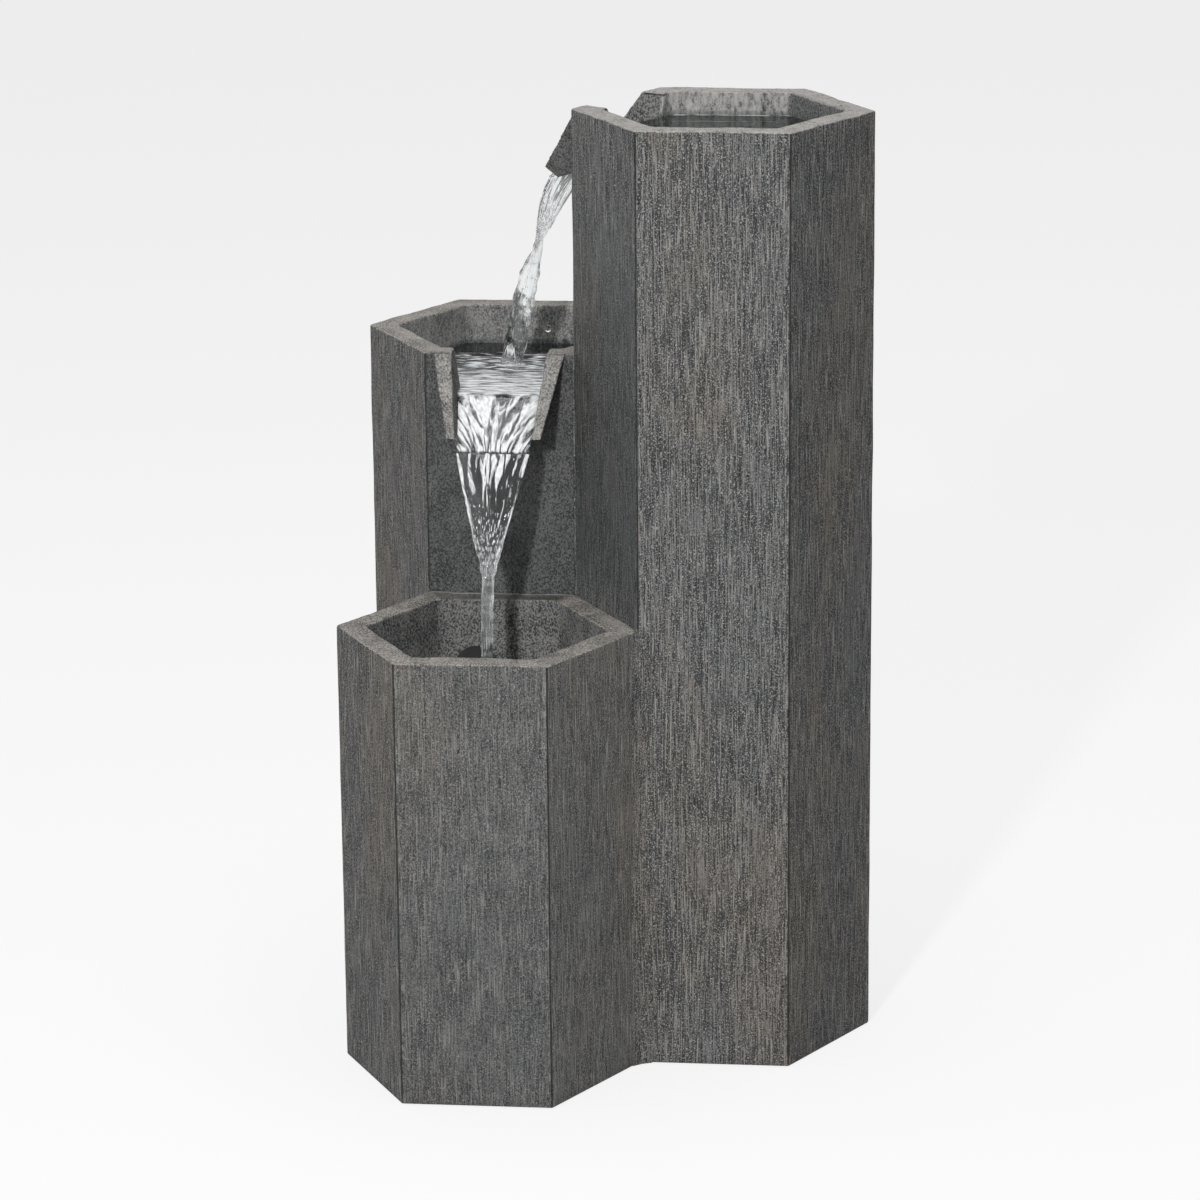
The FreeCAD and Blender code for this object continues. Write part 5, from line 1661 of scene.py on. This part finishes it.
class FOUNTAIN_OT_stage(bpy.types.Operator):
    """Set the camera, the lamps, the sky and the floor"""

    bl_idname = "fountain.stage"
    bl_label = "Stage"

    def execute(self, context):
        stage = context.scene.fountain_stage
        context.scene.view_settings.view_transform = "Standard"
        self.add_camera(context, stage)
        self.add_lamps(context, stage)
        self.add_sky(context, stage)
        self.add_floor(context, stage)
        return {"FINISHED"}

    def add_camera(self, context, stage):
        """Camera at the photograph's viewing angle."""
        ahead = Vector(
            (
                math.sin(stage.yaw) * math.cos(stage.pitch),
                math.cos(stage.yaw) * math.cos(stage.pitch),
                -math.sin(stage.pitch),
            )
        )
        level_right = Vector((math.cos(stage.yaw), -math.sin(stage.yaw), 0))
        level_up = level_right.cross(ahead)
        right = level_right * math.cos(stage.roll) + level_up * math.sin(stage.roll)
        up = level_up * math.cos(stage.roll) - level_right * math.sin(stage.roll)
        data = bpy.data.cameras.new("camera")
        data.lens = stage.lens
        camera = bpy.data.objects.new("camera", data)
        context.scene.collection.objects.link(camera)
        turn = Matrix((right, up, -ahead)).transposed().to_4x4()
        camera.matrix_world = Matrix.Translation(stage.eye) @ turn
        context.scene.camera = camera

    def add_lamps(self, context, stage):
        """Key lamp from the front, a little to the left, and a wide soft lamp overhead."""
        toward = Vector(stage.key_from).normalized()
        middle = UP * (CAD_BOX[1][2] / 2)
        lamps = (
            ("key", stage.key_power, stage.key_size, middle + toward * stage.key_distance, toward),
            ("overhead", stage.top_power, stage.top_size, UP * stage.top_height, UP),
        )
        for name, power, size, place, back in lamps:
            data = bpy.data.lights.new(name, "AREA")
            data.energy = power
            data.size = size
            data.cycles.max_bounces = LAMP_BOUNCES
            lamp = bpy.data.objects.new(name, data)
            context.scene.collection.objects.link(lamp)
            lamp.location = place
            lamp.rotation_euler = back.to_track_quat("Z", "Y").to_euler()

    def add_sky(self, context, stage):
        """Even soft light, seen as white by the camera and in clear or shiny things."""
        world = bpy.data.worlds.new("sky")
        context.scene.world = world
        world.use_nodes = True
        sky = Nodes(world.node_tree)
        strength = sky.node("ShaderNodeMapRange", {}, {"Value": sky.seen(), "To Min": stage.sky})
        light = sky.node("ShaderNodeBackground", {}, {"Color": (1, 1, 1, 1), "Strength": strength})
        sky.node("ShaderNodeOutputWorld", {}, {"Surface": light})

    def add_floor(self, context, stage):
        """Pale floor that keeps the shadow."""
        half = stage.floor_size / 2
        signs = ((-1, -1), (1, -1), (1, 1), (-1, 1))
        corners = [(half * x, half * y, -stage.floor_gap) for x, y in signs]
        mesh = bpy.data.meshes.new("floor")
        mesh.from_pydata(corners, [], [(0, 1, 2, 3)])
        floor = bpy.data.objects.new("floor", mesh)
        context.scene.collection.objects.link(floor)
        finish = Finish("pale_floor")
        white = finish.node("ShaderNodeEmission", {}, {"Strength": 1.0})
        lit = finish.node("ShaderNodeBsdfDiffuse", {}, {"Color": opaque(stage.floor_lit)})
        dim = finish.node("ShaderNodeBsdfDiffuse", {}, {"Color": opaque(stage.floor_dim)})
        finish.output(finish.joined(finish.seen(), dim, finish.joined(stage.floor_white, lit, white)))
        mesh.materials.append(finish.material)


class FOUNTAIN_PT_sidebar(bpy.types.Panel):
    """Lists the fountain's makers and their settings"""

    bl_label = "Tiered Fountain"
    bl_idname = "FOUNTAIN_PT_sidebar"
    bl_space_type = "VIEW_3D"
    bl_region_type = "UI"
    bl_category = "Fountain"

    def draw(self, context):
        for operator in OPERATORS:
            self.layout.operator(operator.bl_idname)
        for name in SETTINGS:
            group = getattr(context.scene, name)
            box = self.layout.box()
            for prop in group.bl_rna.properties:
                if prop.identifier not in ("rna_type", "name"):
                    box.prop(group, prop.identifier)


OPERATORS = (
    FOUNTAIN_OT_columns,
    FOUNTAIN_OT_bowls,
    FOUNTAIN_OT_spouts,
    FOUNTAIN_OT_mortar,
    FOUNTAIN_OT_fittings,
    FOUNTAIN_OT_pools,
    FOUNTAIN_OT_falls,
    FOUNTAIN_OT_drop,
    FOUNTAIN_OT_stage,
)
SETTINGS = {
    "fountain_casting": CastingSettings,
    "fountain_water": WaterSettings,
    "fountain_fittings": FittingSettings,
    "fountain_stage": StageSettings,
}


def register():
    """Register the settings, operators and panel."""
    for cls in (*SETTINGS.values(), *OPERATORS, FOUNTAIN_PT_sidebar):
        bpy.utils.register_class(cls)
    for name, cls in SETTINGS.items():
        setattr(bpy.types.Scene, name, PointerProperty(type=cls))


def unregister():
    """Undo register."""
    for name in SETTINGS:
        delattr(bpy.types.Scene, name)
    for cls in (FOUNTAIN_PT_sidebar, *reversed(OPERATORS), *SETTINGS.values()):
        bpy.utils.unregister_class(cls)


def main():
    """Make every piece and the stage."""
    register()
    bpy.ops.fountain.columns()
    bpy.ops.fountain.bowls()
    bpy.ops.fountain.spouts()
    bpy.ops.fountain.mortar()
    bpy.ops.fountain.fittings()
    bpy.ops.fountain.pools()
    bpy.ops.fountain.falls()
    bpy.ops.fountain.drop()
    bpy.ops.fountain.stage()


if __name__ == "__main__":
    main()
